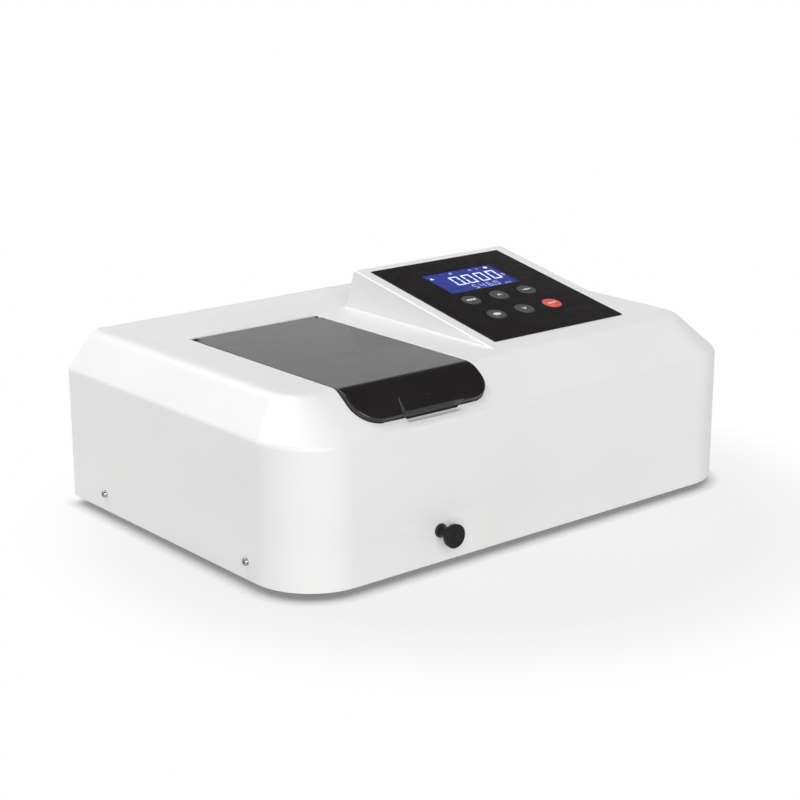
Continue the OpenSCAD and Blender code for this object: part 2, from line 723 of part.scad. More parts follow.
module pull_knob() {
    color([0.05, 0.05, 0.05]) translate([pull_x, front_y - 2, pull_z]) rotate([90, 0, 0])
        difference() {
            rotate_extrude() polygon(concat([[0, 0], [4.6, 0]],
                [for (i = [0:8]) let (s = i / 8) [4.2 + 4.6 * s * s, 2.5 + 9 * s]],
                arc_points(8.5, 14.8, 0.7, 0, 90, 5), [[0, 15.5]]));
            translate([0, 0, -1]) cylinder(r = rod_r, h = 12);
        }
}

// square glass cells standing in the first two wells
module cuvettes() {
    color([0.85, 0.93, 0.97, 0.4]) for (k = [0, 1]) {
        y = beam_y + k * well_pitch;
        difference() {
            box([lid_x - 6.25, y - 6.25, rod_z + 10], [lid_x + 6.25, y + 6.25, rod_z + 55]);
            box([lid_x - 5, y - 5, rod_z + 11.5], [lid_x + 5, y + 5, rod_z + 60]);
        }
    }
}

// ---- detector ------------------------------------------------------------------------

module detector_housing() {
    x1 = tub_x0 - 10.5;
    color([0.2, 0.2, 0.22]) difference() {
        union() {
            box([x1 - 36, beam_y - 25, 30], [x1, beam_y + 25, 88]);
            box([x1 - 34, beam_y - 22, base_top], [x1 - 26, beam_y + 22, 32]);
            box([x1 - 10, beam_y - 22, base_top], [x1 - 2, beam_y + 22, 32]);
            rod_x(x1 - 1, tub_x0 - 0.2, beam_y, beam_z, 10);
        }
        box([x1 - 40, beam_y - 18, 38], [x1 - 6, beam_y + 18, 80]);
        rod_x(x1 - 10, tub_x0 + 5, beam_y, beam_z, 7);
    }
}

module photodiode_board() {
    x0 = tub_x0 - 46.6;
    color([0.1, 0.35, 0.18]) {
        box([x0 - 1.6, beam_y - 24, 31], [x0, beam_y + 24, 87]);
        rod_x(x0 - 0.2, x0 + 14, beam_y, beam_z, 4.6);
        rod_x(x0 - 0.2, x0 + 2, beam_y, beam_z, 7);
        box([x0 - 9, beam_y - 10, 68], [x0 - 1.5, beam_y + 10, 78]);
    }
}

// ---- monochromator -------------------------------------------------------------------

module monochromator_box() {
    color([0.22, 0.22, 0.23]) difference() {
        union() {
            difference() {
                box([mono_x0, mono_y0, mono_z0], [mono_x1, mono_y1, mono_top]);
                box([mono_x0 + mono_t, mono_y0 + mono_t, mono_z0 + 5],
                    [mono_x1 - mono_t, mono_y1 - mono_t, 200]);
            }
            for (x = [mono_x0 + 7, mono_x1 - 7], y = [mono_y0 + 7, mono_y1 - 7])
                rod_z(base_top, mono_z0 + 1, x, y, 6);
            for (x = [mono_x0 + 5, mono_x1 - 5], y = [mono_y0 + 5, mono_y1 - 5])
                rod_z(mono_z0 + 1, mono_top, x, y, 4.5);
            rod_z(mono_z0 + 1, mono_z0 + 9, pivot_x, pivot_y, 9);
            // seats for the curved mirrors
            for (s = [0, 1]) translate([118, s == 0 ? 52 : beam_y, 0]) rotate([0, 0, s == 0 ? 8.9 : -8])
                box([7, -10, mono_z0 + 1], [13, 10, beam_z + 12]);
            // seat for the fold mirror
            translate([slit_x, 52, 0]) rotate([0, 0, 45]) box([-12, -9, mono_z0 + 1], [-4, 9, beam_z + 10]);
            // inner baffle between the two light paths
            box([46, pivot_y - 1.5, mono_z0 + 1], [mono_x1 - 1, pivot_y + 1.5, mono_top - 6]);
        }
        rod_x(mono_x0 - 2, mono_x0 + 10, beam_y, beam_z, 6);
        rod_y(mono_y1 - 10, mono_y1 + 2, slit_x, beam_z, 6);
        rod_z(mono_z0 + 1.5, mono_z0 + 20, pivot_x, pivot_y, 3 + run_fit);
        for (x = [mono_x0 + 5, mono_x1 - 5], y = [mono_y0 + 5, mono_y1 - 5])
            rod_z(mono_top - 10, mono_top + 1, x, y, 1.51);
    }
}

module monochromator_cover() {
    color([0.25, 0.25, 0.26]) difference() {
        union() {
            box([mono_x0, mono_y0, mono_top], [mono_x1, mono_y1, cover_top]);
            rod_z(cover_top - 1, cover_top + 5, pivot_x, pivot_y, 8);
        }
        rod_z(mono_top - 5, cover_top + 10, pivot_x, pivot_y, 3 + run_fit);
        for (x = [mono_x0 + 5, mono_x1 - 5], y = [mono_y0 + 5, mono_y1 - 5])
            rod_z(mono_top - 1, cover_top + 1, x, y, 1.6);
    }
}

module slit_plates() {
    color([0.7, 0.71, 0.73]) {
        difference() {
            box([mono_x0 - 2, beam_y - 12, beam_z - 12], [mono_x0, beam_y + 12, beam_z + 12]);
            box([mono_x0 - 5, beam_y - 0.5, beam_z - 4], [mono_x0 + 5, beam_y + 0.5, beam_z + 4]);
        }
        difference() {
            box([slit_x - 12, mono_y1, beam_z - 12], [slit_x + 12, mono_y1 + 2, beam_z + 12]);
            box([slit_x - 0.5, mono_y1 - 5, beam_z - 4], [slit_x + 0.5, mono_y1 + 5, beam_z + 4]);
        }
    }
}

// two concave mirrors on the right wall and a flat fold mirror behind the entrance slit
module mirrors() {
    focus = 150;
    color([0.85, 0.87, 0.9]) {
        for (s = [0, 1]) translate([118, s == 0 ? 52 : beam_y, beam_z]) rotate([0, 0, s == 0 ? 8.9 : -8])
            rotate([0, -90, 0]) rotate_extrude() polygon(concat([[0, -7], [17, -7]],
                [for (i = [8:-1:0]) let (r = 17 * i / 8) [r, r * r / (4 * focus)]]));
        translate([slit_x, 52, beam_z]) rotate([0, 0, 45]) box([-4, -11, -10], [0, 11, 10]);
    }
}

module drive_bracket() {
    color([0.7, 0.71, 0.73]) difference() {
        union() {
            box([-40, screw_y - 9, cover_top], [66, screw_y + 9, cover_top + 3]);
            box([-40, screw_y - 9, cover_top], [-36, screw_y + 9, drive_z + 9]);
            box([62, screw_y - 15, cover_top], [66, screw_y + 15, drive_z + 15]);
        }
        rod_x(-45, -30, screw_y, drive_z, 3 + run_fit);
        rod_x(60, 70, screw_y, drive_z, 8);
    }
}

module stepper_motor() {
    color([0.15, 0.15, 0.16]) difference() {
        box([66, screw_y - 14, drive_z - 14], [98, screw_y + 14, drive_z + 14]);
        rod_x(60, 76, screw_y, drive_z, 2.5 + run_fit);
        for (sy = [-1, 1], sz = [-1, 1]) translate([60, screw_y + sy * 14, drive_z + sz * 14])
            rotate([45, 0, 0]) translate([0, -2, -2]) cube([50, 4, 4]);
    }
}

module lead_screw() {
    color([0.72, 0.7, 0.66]) {
        rod_x(-41, 50, screw_y, drive_z, 3);
        rod_x(-35.8, -33, screw_y, drive_z, 5);
        rod_x(42, 58, screw_y, drive_z, 8.5);
        rod_x(56, 75, screw_y, drive_z, 2.5);
        // disc that a person turns by hand to free a stuck screw
        rod_x(28, 32, screw_y, drive_z, 14);
    }
}

module drive_nut() {
    face_x = pivot_x - ball_r - nut_gap;
    color([0.78, 0.6, 0.25]) difference() {
        union() {
            box([face_x - 12, screw_y - 6, cover_top + 3.05], [face_x, screw_y + 6, drive_z + 6]);
            box([face_x - 3, pivot_y + arm_len - 4, drive_z - 5], [face_x, screw_y - 5, drive_z + 5]);
        }
        rod_x(face_x - 20, face_x + 10, screw_y, drive_z, 3 + run_fit);
    }
}

// grating in its turning holder; the ruled face passes through the pivot line
module grating_holder() {
    color([0.55, 0.57, 0.6]) translate([pivot_x, pivot_y, 0]) {
        rod_z(mono_z0 + 2, beam_z - 17, 0, 0, 3);
        rod_z(beam_z - 18, beam_z - 15, 0, 0, 14);
        rod_z(beam_z + 15, beam_z + 18, 0, 0, 14);
        rod_z(beam_z + 17, drive_z + 5, 0, 0, 3);
        rotate([0, 0, 20]) box([-9, -11, beam_z - 16], [0, 11, beam_z + 16]);
    }
}

module grating_arm() {
    stem = arm_len - 12;
    color([0.72, 0.73, 0.75]) translate([pivot_x, pivot_y, 0]) {
        difference() {
            union() {
                rod_z(drive_z - 5, drive_z + 4, 0, 0, 8);
                box([-3, 0, drive_z - 2], [3, stem, drive_z + 2]);
            }
            rod_z(drive_z - 10, drive_z + 10, 0, 0, 3);
        }
        rod_y(stem - 1, arm_len, 0, drive_z, 1.5);
        translate([0, arm_len, drive_z]) sphere(r = ball_r);
    }
}

// ---- light source --------------------------------------------------------------------

module filter_wheel() {
    color([0.2, 0.2, 0.21]) {
        difference() {
            rod_y(wheel_y, wheel_y + 3, slit_x, wheel_z, 26);
            for (k = [0:5]) translate([slit_x, 0, wheel_z]) rotate([0, k * 60, 0])
                rod_y(wheel_y - 1, wheel_y + 5, 0, -18, 6.5);
        }
        rod_y(wheel_y - 2, wheel_y + 4, slit_x, wheel_z, 5);
        rod_y(wheel_y + 3, wheel_y + 18, slit_x, wheel_z, 1.5);
    }
}

module filter_motor() {
    color([0.65, 0.66, 0.68]) difference() {
        rod_y(wheel_y + 6, 122, slit_x, wheel_z, 8.5);
        rod_y(wheel_y, wheel_y + 19, slit_x, wheel_z, 1.5 + run_fit);
    }
}

module lamp_housing() {
    x0 = slit_x - 28;
    x1 = slit_x + 28;
    color([0.68, 0.69, 0.71]) difference() {
        union() {
            box([x0, 122, base_top], [x1, 146, 94]);
            rod_y(112, 123, slit_x, beam_z, 9.2);
        }
        box([x0 + 1.5, 123.5, base_top - 1], [x1 - 1.5, 144.5, 92.5]);
        rod_y(110, 125, slit_x, beam_z, lens_r + 0.02);
        for (i = [0:4]) {
            box([x0 + 6 + i * 10, 126, 90], [x0 + 10 + i * 10, 142, 100]);
            box([x0 + 6 + i * 10, 140, 60], [x0 + 10 + i * 10, 150, 86]);
        }
        rod_x(x0 - 5, x0 + 5, lamp_y, 18, 4);
    }
}

module condenser_lens() {
    color([0.85, 0.93, 0.97, 0.4]) translate([slit_x, 115, beam_z]) rotate([-90, 0, 0])
        rotate_extrude() polygon(concat([[0, -1.6]],
            [for (i = [1:8]) let (r = lens_r * i / 8) [r, -1.6 * (1 - i * i / 64)]],
            [for (i = [8:-1:0]) let (r = lens_r * i / 8) [r, 3 + 1.6 * (1 - i * i / 64)]]));
}

module lamp_socket() {
    color([0.88, 0.86, 0.8]) difference() {
        union() {
            box([slit_x - 9, lamp_y - 7, 24], [slit_x + 9, lamp_y + 7, 42]);
            box([slit_x - 12, lamp_y - 5, base_top], [slit_x + 12, lamp_y + 5, 26]);
        }
        for (sx = [-1, 1]) rod_z(30, 45, slit_x + sx * 2, lamp_y, 0.6);
    }
}

module halogen_lamp() {
    color([0.9, 0.93, 0.95, 0.5]) {
        for (sx = [-1, 1]) rod_z(34, 45, slit_x + sx * 2, lamp_y, 0.5);
        box([slit_x - 4, lamp_y - 1.5, 43], [slit_x + 4, lamp_y + 1.5, 52]);
        rod_z(51, 64, slit_x, lamp_y, 4.8);
        translate([slit_x, lamp_y, 64]) sphere(r = 4.8);
    }
}

// ---- electronics ---------------------------------------------------------------------

module board_standoffs() {
    color([0.8, 0.68, 0.35]) {
        for (x = [147, 213], y = [-54, 126]) {
            translate([x, y, base_top]) cylinder(r = 3, h = main_z - base_top, $fn = 6);
            rod_z(main_z - 1, main_z + 3, x, y, 1.4);
        }
        for (x = [-213, -130], y = [84, 124]) {
            translate([x, y, base_top]) cylinder(r = 3, h = power_z - base_top, $fn = 6);
            rod_z(power_z - 1, power_z + 3, x, y, 1.4);
        }
    }
}

module main_board() {
    top = main_z + 1.6;
    color([0.1, 0.33, 0.2]) {
        difference() {
            box([142, -60, main_z], [218, panel_y - 3, top]);
            for (x = [147, 213], y = [-54, 126]) rod_z(0, 50, x, y, 1.5);
        }
        // header that takes the ribbon cable
        box([149, -57, top - 0.2], [158, -28, 27.9]);
        box([170, 20, top - 0.2], [190, 40, top + 2.4]);
        for (i = [0:2]) box([150, 0 + i * 16, top - 0.2], [158, 10 + i * 16, top + 3.2]);
        for (i = [0:3]) rod_z(top - 0.2, top + 12, 204, -40 + i * 16, 5);
        box([196, 40, top - 0.2], [214, 66, top + 16]);
        for (i = [0:2]) box([160 + i * 14, 84, top - 0.2], [170 + i * 14, 100, top + 4]);
    }
}

module power_board() {
    top = power_z + 1.6;
    color([0.5, 0.38, 0.2]) {
        difference() {
            box([-218, 79, power_z], [-125, 130, top]);
            for (x = [-213, -130], y = [84, 124]) rod_z(0, 50, x, y, 1.5);
        }
        for (i = [0:1]) rod_z(top - 0.2, top + 26, -205 + i * 20, 96, 8);
        rod_z(top - 0.2, top + 16, -160, 118, 6);
        box([-156, 84, top - 0.2], [-134, 90, top + 24]);
        for (i = [0:5]) box([-155 + i * 4, 83, top - 0.2], [-153.5 + i * 4, 100, top + 24]);
        box([-190, 112, top - 0.2], [-172, 127, top + 14]);
    }
}

module power_transformer() {
    x0 = -218;
    color([0.35, 0.36, 0.38]) {
        difference() {
            box([x0, 28, base_top], [x0 + 50, 66, 52]);
            box([x0 + 8, 27, 18], [x0 + 18, 67, 44]);
            box([x0 + 32, 27, 18], [x0 + 42, 67, 44]);
        }
        difference() {
            box([x0 + 9, 22, 19], [x0 + 41, 72, 43]);
            box([x0 + 8, 27.9, 10], [x0 + 42, 66.1, 60]);
        }
    }
}

// recessed three-pin appliance inlet
module mains_inlet() {
    color([0.07, 0.07, 0.07]) {
        difference() {
            union() {
                translate([inlet_x, panel_y1, inlet_z]) rotate([-90, 0, 0]) difference() {
                    rounded_plate(50, 24, 5, 2.5);
                    for (sx = [-1, 1]) translate([sx * 20, 0, -1]) cylinder(r = 1.6, h = 10);
                }
                box([inlet_x - 13.8, panel_y - 20, inlet_z - 10], [inlet_x + 13.8, panel_y1 + 1, inlet_z + 10]);
            }
            box([inlet_x - 12, panel_y - 14, inlet_z - 8], [inlet_x + 12, panel_y1 + 9, inlet_z + 8]);
        }
        for (p = [[-7, -2], [7, -2], [0, 2]])
            box([inlet_x + p[0] - 1, panel_y - 15, inlet_z + p[1] - 2],
                [inlet_x + p[0] + 1, panel_y1, inlet_z + p[1] + 2]);
    }
}

module rocker_frame() {
    color([0.08, 0.08, 0.08]) difference() {
        union() {
            box([rocker_x - 10, panel_y1, rocker_z - 15], [rocker_x + 10, panel_y1 + 2, rocker_z + 15]);
            box([rocker_x - 8.5, panel_y - 18, rocker_z - 13], [rocker_x + 8.5, panel_y1 + 1, rocker_z + 13]);
        }
        box([rocker_x - 7, panel_y - 12, rocker_z - 11.2], [rocker_x + 7, panel_y1 + 5, rocker_z + 11.2]);
        rod_x(rocker_x - 8.6, rocker_x + 8.6, rocker_y, rocker_z, 1.5 + run_fit);
    }
}

module rocker_switch() {
    color([0.12, 0.12, 0.13]) translate([rocker_x, rocker_y, rocker_z]) rotate([rocker_tilt, 0, 0]) {
        intersection() {
            rod_x(-6.8, 6.8, 0, 0, 11);
            along_x(-6.8, 6.8) polygon([[-6, -12], [-6, 12], [4.2, 12], [2.6, 0], [4.2, -12]]);
        }
        rod_x(-8.5, 8.5, 0, 0, 1.5);
    }
}

module fuse_holder() {
    color([0.09, 0.09, 0.09]) {
        rod_y(panel_y - 26, panel_y1 + 0.5, inlet_x, fuse_z, 6.2);
        rod_y(panel_y1, panel_y1 + 2, inlet_x, fuse_z, 9);
        difference() {
            rod_y(panel_y1 + 1, panel_y1 + 6, inlet_x, fuse_z, 6);
            box([inlet_x - 5, panel_y1 + 4.5, fuse_z - 0.6], [inlet_x + 5, panel_y1 + 9, fuse_z + 0.6]);
        }
    }
}

// nine-pin serial socket with its two threaded jack posts, and a square data socket
module data_ports() {
    color([0.68, 0.69, 0.71]) {
        difference() {
            union() {
                box([serial_x - 15.4, panel_y - 1, serial_z - 6.2], [serial_x + 15.4, panel_y, serial_z + 6.2]);
                box([serial_x - 14, panel_y - 11, 19.6], [serial_x + 14, panel_y - 0.5, serial_z + 5]);
                along_y(panel_y - 0.5, panel_y1 + 4) polygon([[serial_x - 9, serial_z + 4.2],
                    [serial_x + 9, serial_z + 4.2], [serial_x + 7.5, serial_z - 4.2],
                    [serial_x - 7.5, serial_z - 4.2]]);
            }
            for (i = [0:4]) rod_y(panel_y1, panel_y1 + 6, serial_x - 5.5 + i * 2.75, serial_z + 1.4, 0.6);
            for (i = [0:3]) rod_y(panel_y1, panel_y1 + 6, serial_x - 4.1 + i * 2.75, serial_z - 1.4, 0.6);
        }
        for (sx = [-1, 1]) translate([serial_x + sx * jack_pitch / 2, panel_y1 + 4.5, serial_z])
            rotate([90, 0, 0]) difference() {
                union() {
                    cylinder(r = 2.75, h = 4.5, $fn = 6);
                    cylinder(r = 1.5, h = 6.5);
                }
                translate([0, 0, -1]) cylinder(r = 1.2, h = 6.5);
            }
        difference() {
            box([usb_x - 6, panel_y - 13, 19.6], [usb_x + 6, panel_y1 + 0.5, usb_z + 5.4]);
            box([usb_x - 4.2, panel_y - 7, usb_z - 3.9], [usb_x + 4.2, panel_y1 + 5, usb_z + 3.9]);
        }
        box([usb_x - 2.8, panel_y - 8, usb_z - 1.6], [usb_x + 2.8, panel_y1 - 0.5, usb_z + 1.6]);
    }
}

// ---- cooling fan ---------------------------------------------------------------------

module fan_frame() {
    color([0.1, 0.1, 0.1]) difference() {
        union() {
            difference() {
                box([fan_x - 30, fan_y0, fan_z - 30], [fan_x + 30, panel_y, fan_z + 30]);
                rod_y(fan_y0 - 1, panel_y + 1, fan_x, fan_z, 28.5);
            }
            for (a = [0:90:270]) translate([fan_x, 0, fan_z]) rotate([0, a + 45, 0])
                box([10, fan_y0, -1.5], [29, fan_y0 + 2.5, 1.5]);
            rod_y(fan_y0, fan_y0 + 3, fan_x, fan_z, 13);
            rod_y(fan_y0, fan_y0 + 12, fan_x, fan_z, 1.5);
        }
        for (sx = [-1, 1], sz = [-1, 1])
            rod_y(fan_y0 - 1, panel_y + 1, fan_x + sx * fan_pitch / 2, fan_z + sz * fan_pitch / 2, 2.02);
    }
}

module fan_rotor() {
    color([0.14, 0.14, 0.15]) difference() {
        union() {
            rod_y(fan_y0 + 3.5, fan_y0 + 14, fan_x, fan_z, 13);
            intersection() {
                rod_y(fan_y0 + 3.5, fan_y0 + 14, fan_x, fan_z, 27.5);
                for (a = [0:6]) translate([fan_x, fan_y0 + 8.7, fan_z]) rotate([0, a * 360 / 7, 0])
                    rotate([40, 0, 0]) box([11, -0.7, -8], [30, 0.7, 8]);
            }
        }
        rod_y(fan_y0, fan_y0 + 12.5, fan_x, fan_z, 1.5 + run_fit);
    }
}

// round wire guard, its four screw eyes and the screws through them
module fan_guard() {
    y = panel_y1 + 1;
    color([0.78, 0.79, 0.8]) {
        for (r = [10, 18, 26]) translate([fan_x, y, fan_z]) rotate([90, 0, 0])
            rotate_extrude() translate([r, 0]) circle(r = 0.9, $fn = 24);
        for (a = [45:90:315]) translate([fan_x, y, fan_z]) rotate([0, a, 0])
            rod_x(9.5, 33, 0, 0, 0.9);
        for (sx = [-1, 1], sz = [-1, 1]) {
            rod_y(panel_y1, panel_y1 + 2.6, fan_x + sx * fan_pitch / 2, fan_z + sz * fan_pitch / 2, 3.6);
            rod_y(fan_y0, panel_y1 + 1, fan_x + sx * fan_pitch / 2, fan_z + sz * fan_pitch / 2, 1.98);
        }
    }
}

// ---- build ---------------------------------------------------------------------------

base_plate();
rubber_feet();
chassis_screws();
housing_shell();
shell_screws();
rear_panel();
overlay_panel();
lcd_window();
lcd_module();
keypad_board();
compartment_rim();
lid_seal();
sample_tub();
beam_windows();
guide_rods();
rod_bush();
detent_plunger();
detector_housing();
photodiode_board();
monochromator_box();
monochromator_cover();
slit_plates();
mirrors();
drive_bracket();
stepper_motor();
filter_motor();
lamp_housing();
condenser_lens();
lamp_socket();
halogen_lamp();
power_board();
power_transformer();
main_board();
board_standoffs();
mains_inlet();
rocker_frame();
fuse_holder();
data_ports();
fan_frame();
fan_guard();
ribbon_cable();
sample_lid();
lid_hinge_pins();
cuvette_carriage();
pull_rod();
pull_knob();
cuvettes();
button_mode();
button_up();
button_zero();
button_print();
button_down();
button_enter();
rocker_switch();
fan_rotor();
filter_wheel();
lead_screw();
drive_nut();
grating_holder();
grating_arm();
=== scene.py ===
import json
import math

import bmesh
import bpy
from mathutils import Matrix, Vector


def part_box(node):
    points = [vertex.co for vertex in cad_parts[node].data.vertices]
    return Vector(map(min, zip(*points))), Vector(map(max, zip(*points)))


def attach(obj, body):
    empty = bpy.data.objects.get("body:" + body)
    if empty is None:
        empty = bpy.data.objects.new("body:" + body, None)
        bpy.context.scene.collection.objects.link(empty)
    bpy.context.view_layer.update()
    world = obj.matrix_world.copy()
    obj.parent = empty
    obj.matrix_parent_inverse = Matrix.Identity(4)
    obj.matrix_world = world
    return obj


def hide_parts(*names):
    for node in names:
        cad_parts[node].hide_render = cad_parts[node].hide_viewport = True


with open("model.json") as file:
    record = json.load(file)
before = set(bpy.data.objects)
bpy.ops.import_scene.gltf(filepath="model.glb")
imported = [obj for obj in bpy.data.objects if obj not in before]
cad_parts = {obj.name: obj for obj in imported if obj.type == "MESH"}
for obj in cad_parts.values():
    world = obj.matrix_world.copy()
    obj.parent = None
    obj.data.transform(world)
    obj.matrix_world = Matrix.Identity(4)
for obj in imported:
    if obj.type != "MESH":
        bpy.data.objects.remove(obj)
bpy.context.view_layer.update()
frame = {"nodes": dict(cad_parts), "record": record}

MM = 0.001


def box_mm(node):
    """Lowest and highest corner of a CAD node in millimetres."""
    lo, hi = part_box(node)
    return lo / MM, hi / MM


def middle(node):
    """Centre of a CAD node's box in millimetres."""
    lo, hi = box_mm(node)
    return (lo + hi) / 2


# ---- places taken from the frame -------------------------------------------------------

SHELL_LO, SHELL_HI = box_mm("housing_shell")
LID_LO, LID_HI = box_mm("sample_lid")
Z_BOTTOM = SHELL_LO.z
Z_WALL = Z_BOTTOM + 107.6
Z_DECK = LID_HI.z
RISE = Z_DECK - Z_WALL
FRONT_Y = SHELL_LO.y
BACK_Y = SHELL_HI.y
HALF_W = SHELL_HI.x
SIDE_RUN = 24.8
FRONT_RUN = 40.0
WALL_EDGE_R = 5.5
DECK_EDGE_R = 14.0
SKIN = 3.0
SLOPE_A = math.atan(RISE / FRONT_RUN)
POD_A = math.radians(11)
POD_X0 = -2.6
POD_X1 = 163.6
POD_FRONT_Y = -104.0
POD_BACK_Y = 83.5
POD_TOP_H = SHELL_HI.z - Z_DECK
POD_TOP_Y = POD_FRONT_Y + POD_TOP_H / math.tan(POD_A)
LID_X = (LID_LO.x + LID_HI.x) / 2
LID_W = LID_HI.x - LID_LO.x
LID_U = 12.0
LID_PROUD = 4.0
LID_CORNER_R = 20.0
GRIP_H = 2.5
NOTCH_R = 8.0
NOTCH_HALF = 25.0
SEAM = 0.4

FACE = Matrix.Translation((0, POD_FRONT_Y, Z_DECK)) @ Matrix.Rotation(POD_A, 4, "X")
SLOPE = Matrix.Translation((0, FRONT_Y, Z_WALL)) @ Matrix.Rotation(SLOPE_A, 4, "X")
# carries a profile drawn in (y, z) along X, and one drawn in (x, z) along Y
ALONG_X = Matrix(((0, 0, 1, 0), (1, 0, 0, 0), (0, 1, 0, 0), (0, 0, 0, 1)))
ALONG_Y = Matrix(((1, 0, 0, 0), (0, 0, -1, 0), (0, 1, 0, 0), (0, 0, 0, 1)))


def on_face(node):
    """Centre of a node in the frame of the pod face: x across, y up the face, z out of it."""
    return FACE.inverted() @ middle(node)


PANEL = on_face("overlay_panel")
GLASS = on_face("lcd_window")
PANEL_W = 143.0
PANEL_H = 157.0
PANEL_R = 1.0
LCD_W = 76.0
LCD_H = 42.0
BUTTONS = ("mode", "up", "zero", "print", "down", "enter")
BUTTON_R = 8.25


# ---- mesh helpers ----------------------------------------------------------------------

def arc(cx, cy, r, a0, a1, steps):
    """Points of an arc; angles in degrees."""
    out = []
    for i in range(steps + 1):
        a = math.radians(a0 + (a1 - a0) * i / steps)
        out.append((cx + r * math.cos(a), cy + r * math.sin(a)))
    return out


def rounded_rect(cx, cy, w, h, r, steps=8):
    """Outline of a rectangle with rounded corners, anticlockwise."""
    out = []
    for sx, sy, a in ((1, 1, 0), (-1, 1, 90), (-1, -1, 180), (1, -1, 270)):
        out += arc(cx + sx * (w / 2 - r), cy + sy * (h / 2 - r), r, a, a + 90, steps)
    return out


def rect(x0, y0, x1, y1):
    return [(x0, y0), (x1, y0), (x1, y1), (x0, y1)]


def circle(cx, cy, r, steps=48):
    return arc(cx, cy, r, 0, 360, steps)[:-1]


def new_object(name, verts, faces):
    """A mesh object from millimetre points, with its faces turned outwards."""
    mesh = bpy.data.meshes.new(name)
    mesh.from_pydata([tuple(Vector(v) * MM) for v in verts], [], faces)
    bm = bmesh.new()
    bm.from_mesh(mesh)
    bmesh.ops.recalc_face_normals(bm, faces=bm.faces)
    bm.to_mesh(mesh)
    bm.free()
    obj = bpy.data.objects.new(name, mesh)
    bpy.context.scene.collection.objects.link(obj)
    return obj


def prism_data(outline, z0, z1, matrix, start=0):
    """Points and faces of an extruded outline, numbered from start."""
    n = len(outline)
    verts = [matrix @ Vector((x, y, z)) for z in (z0, z1) for x, y in outline]
    faces = [tuple(start + i for i in range(n - 1, -1, -1)), tuple(start + n + i for i in range(n))]
    for i in range(n):
        j = (i + 1) % n
        faces.append((start + i, start + j, start + n + j, start + n + i))
    return verts, faces


def prisms(name, parts):
    """One object from several extruded outlines, each (outline, z0, z1, matrix)."""
    verts, faces = [], []
    for outline, z0, z1, matrix in parts:
        v, f = prism_data(outline, z0, z1, matrix, len(verts))
        verts += v
        faces += f
    return new_object(name, verts, faces)


def lathe(name, profile, matrix, steps=64):
    """Turns a profile of (radius, height) about local Z; the ends lie on the axis."""
    verts, faces = [], []
    rings = []
    for r, h in profile:
        if r < 1e-6:
            rings.append([len(verts)])
            verts.append(matrix @ Vector((0, 0, h)))
            continue
        first = len(verts)
        for i in range(steps):
            a = 2 * math.pi * i / steps
            verts.append(matrix @ Vector((r * math.cos(a), r * math.sin(a), h)))
        rings.append(list(range(first, first + steps)))
    for lo, hi in zip(rings, rings[1:]):
        for i in range(steps):
            j = (i + 1) % steps
            if len(lo) == 1:
                faces.append((lo[0], hi[i], hi[j]))
            elif len(hi) == 1:
                faces.append((lo[i], lo[j], hi[0]))
            else:
                faces.append((lo[i], lo[j], hi[j], hi[i]))
    return new_object(name, verts, faces)


def bake(obj):
    """Applies the modifiers of an object."""
    bpy.context.view_layer.update()
    graph = bpy.context.evaluated_depsgraph_get()
    mesh = bpy.data.meshes.new_from_object(obj.evaluated_get(graph))
    obj.modifiers.clear()
    obj.data = mesh


def combine(obj, tool, operation="DIFFERENCE"):
    """Exact boolean of two objects; the tool is used up."""
    mod = obj.modifiers.new("cut", "BOOLEAN")
    mod.operation = operation
    mod.solver = "EXACT"
    mod.object = tool
    bake(obj)
    bpy.data.objects.remove(tool)


def round_edges(obj, width, angle=35, segments=3):
    """Bevels every edge sharper than the angle."""
    mod = obj.modifiers.new("round", "BEVEL")
    mod.width = width * MM
    mod.segments = segments
    mod.limit_method = "ANGLE"
    mod.angle_limit = math.radians(angle)
    mod.use_clamp_overlap = False
    mod.miter_outer = "MITER_ARC"
    bake(obj)


def smooth(obj, sharp=50):
    """Smooth shading weighted by face area, with creases kept above an angle."""
    obj.data.shade_smooth()
    obj.data.set_sharp_from_angle(angle=math.radians(sharp))
    mod = obj.modifiers.new("normals", "WEIGHTED_NORMAL")
    mod.keep_sharp = True
    mod.weight = 80


def place(obj, body, slot, materials, *nodes):
    """Gives a finished piece its materials and its body, and hides the CAD nodes it stands for."""
    obj.data.materials.clear()
    for m in materials:
        obj.data.materials.append(m)
    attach(obj, body)
    if nodes:
        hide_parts(*nodes)
    return obj


# ---- materials -------------------------------------------------------------------------

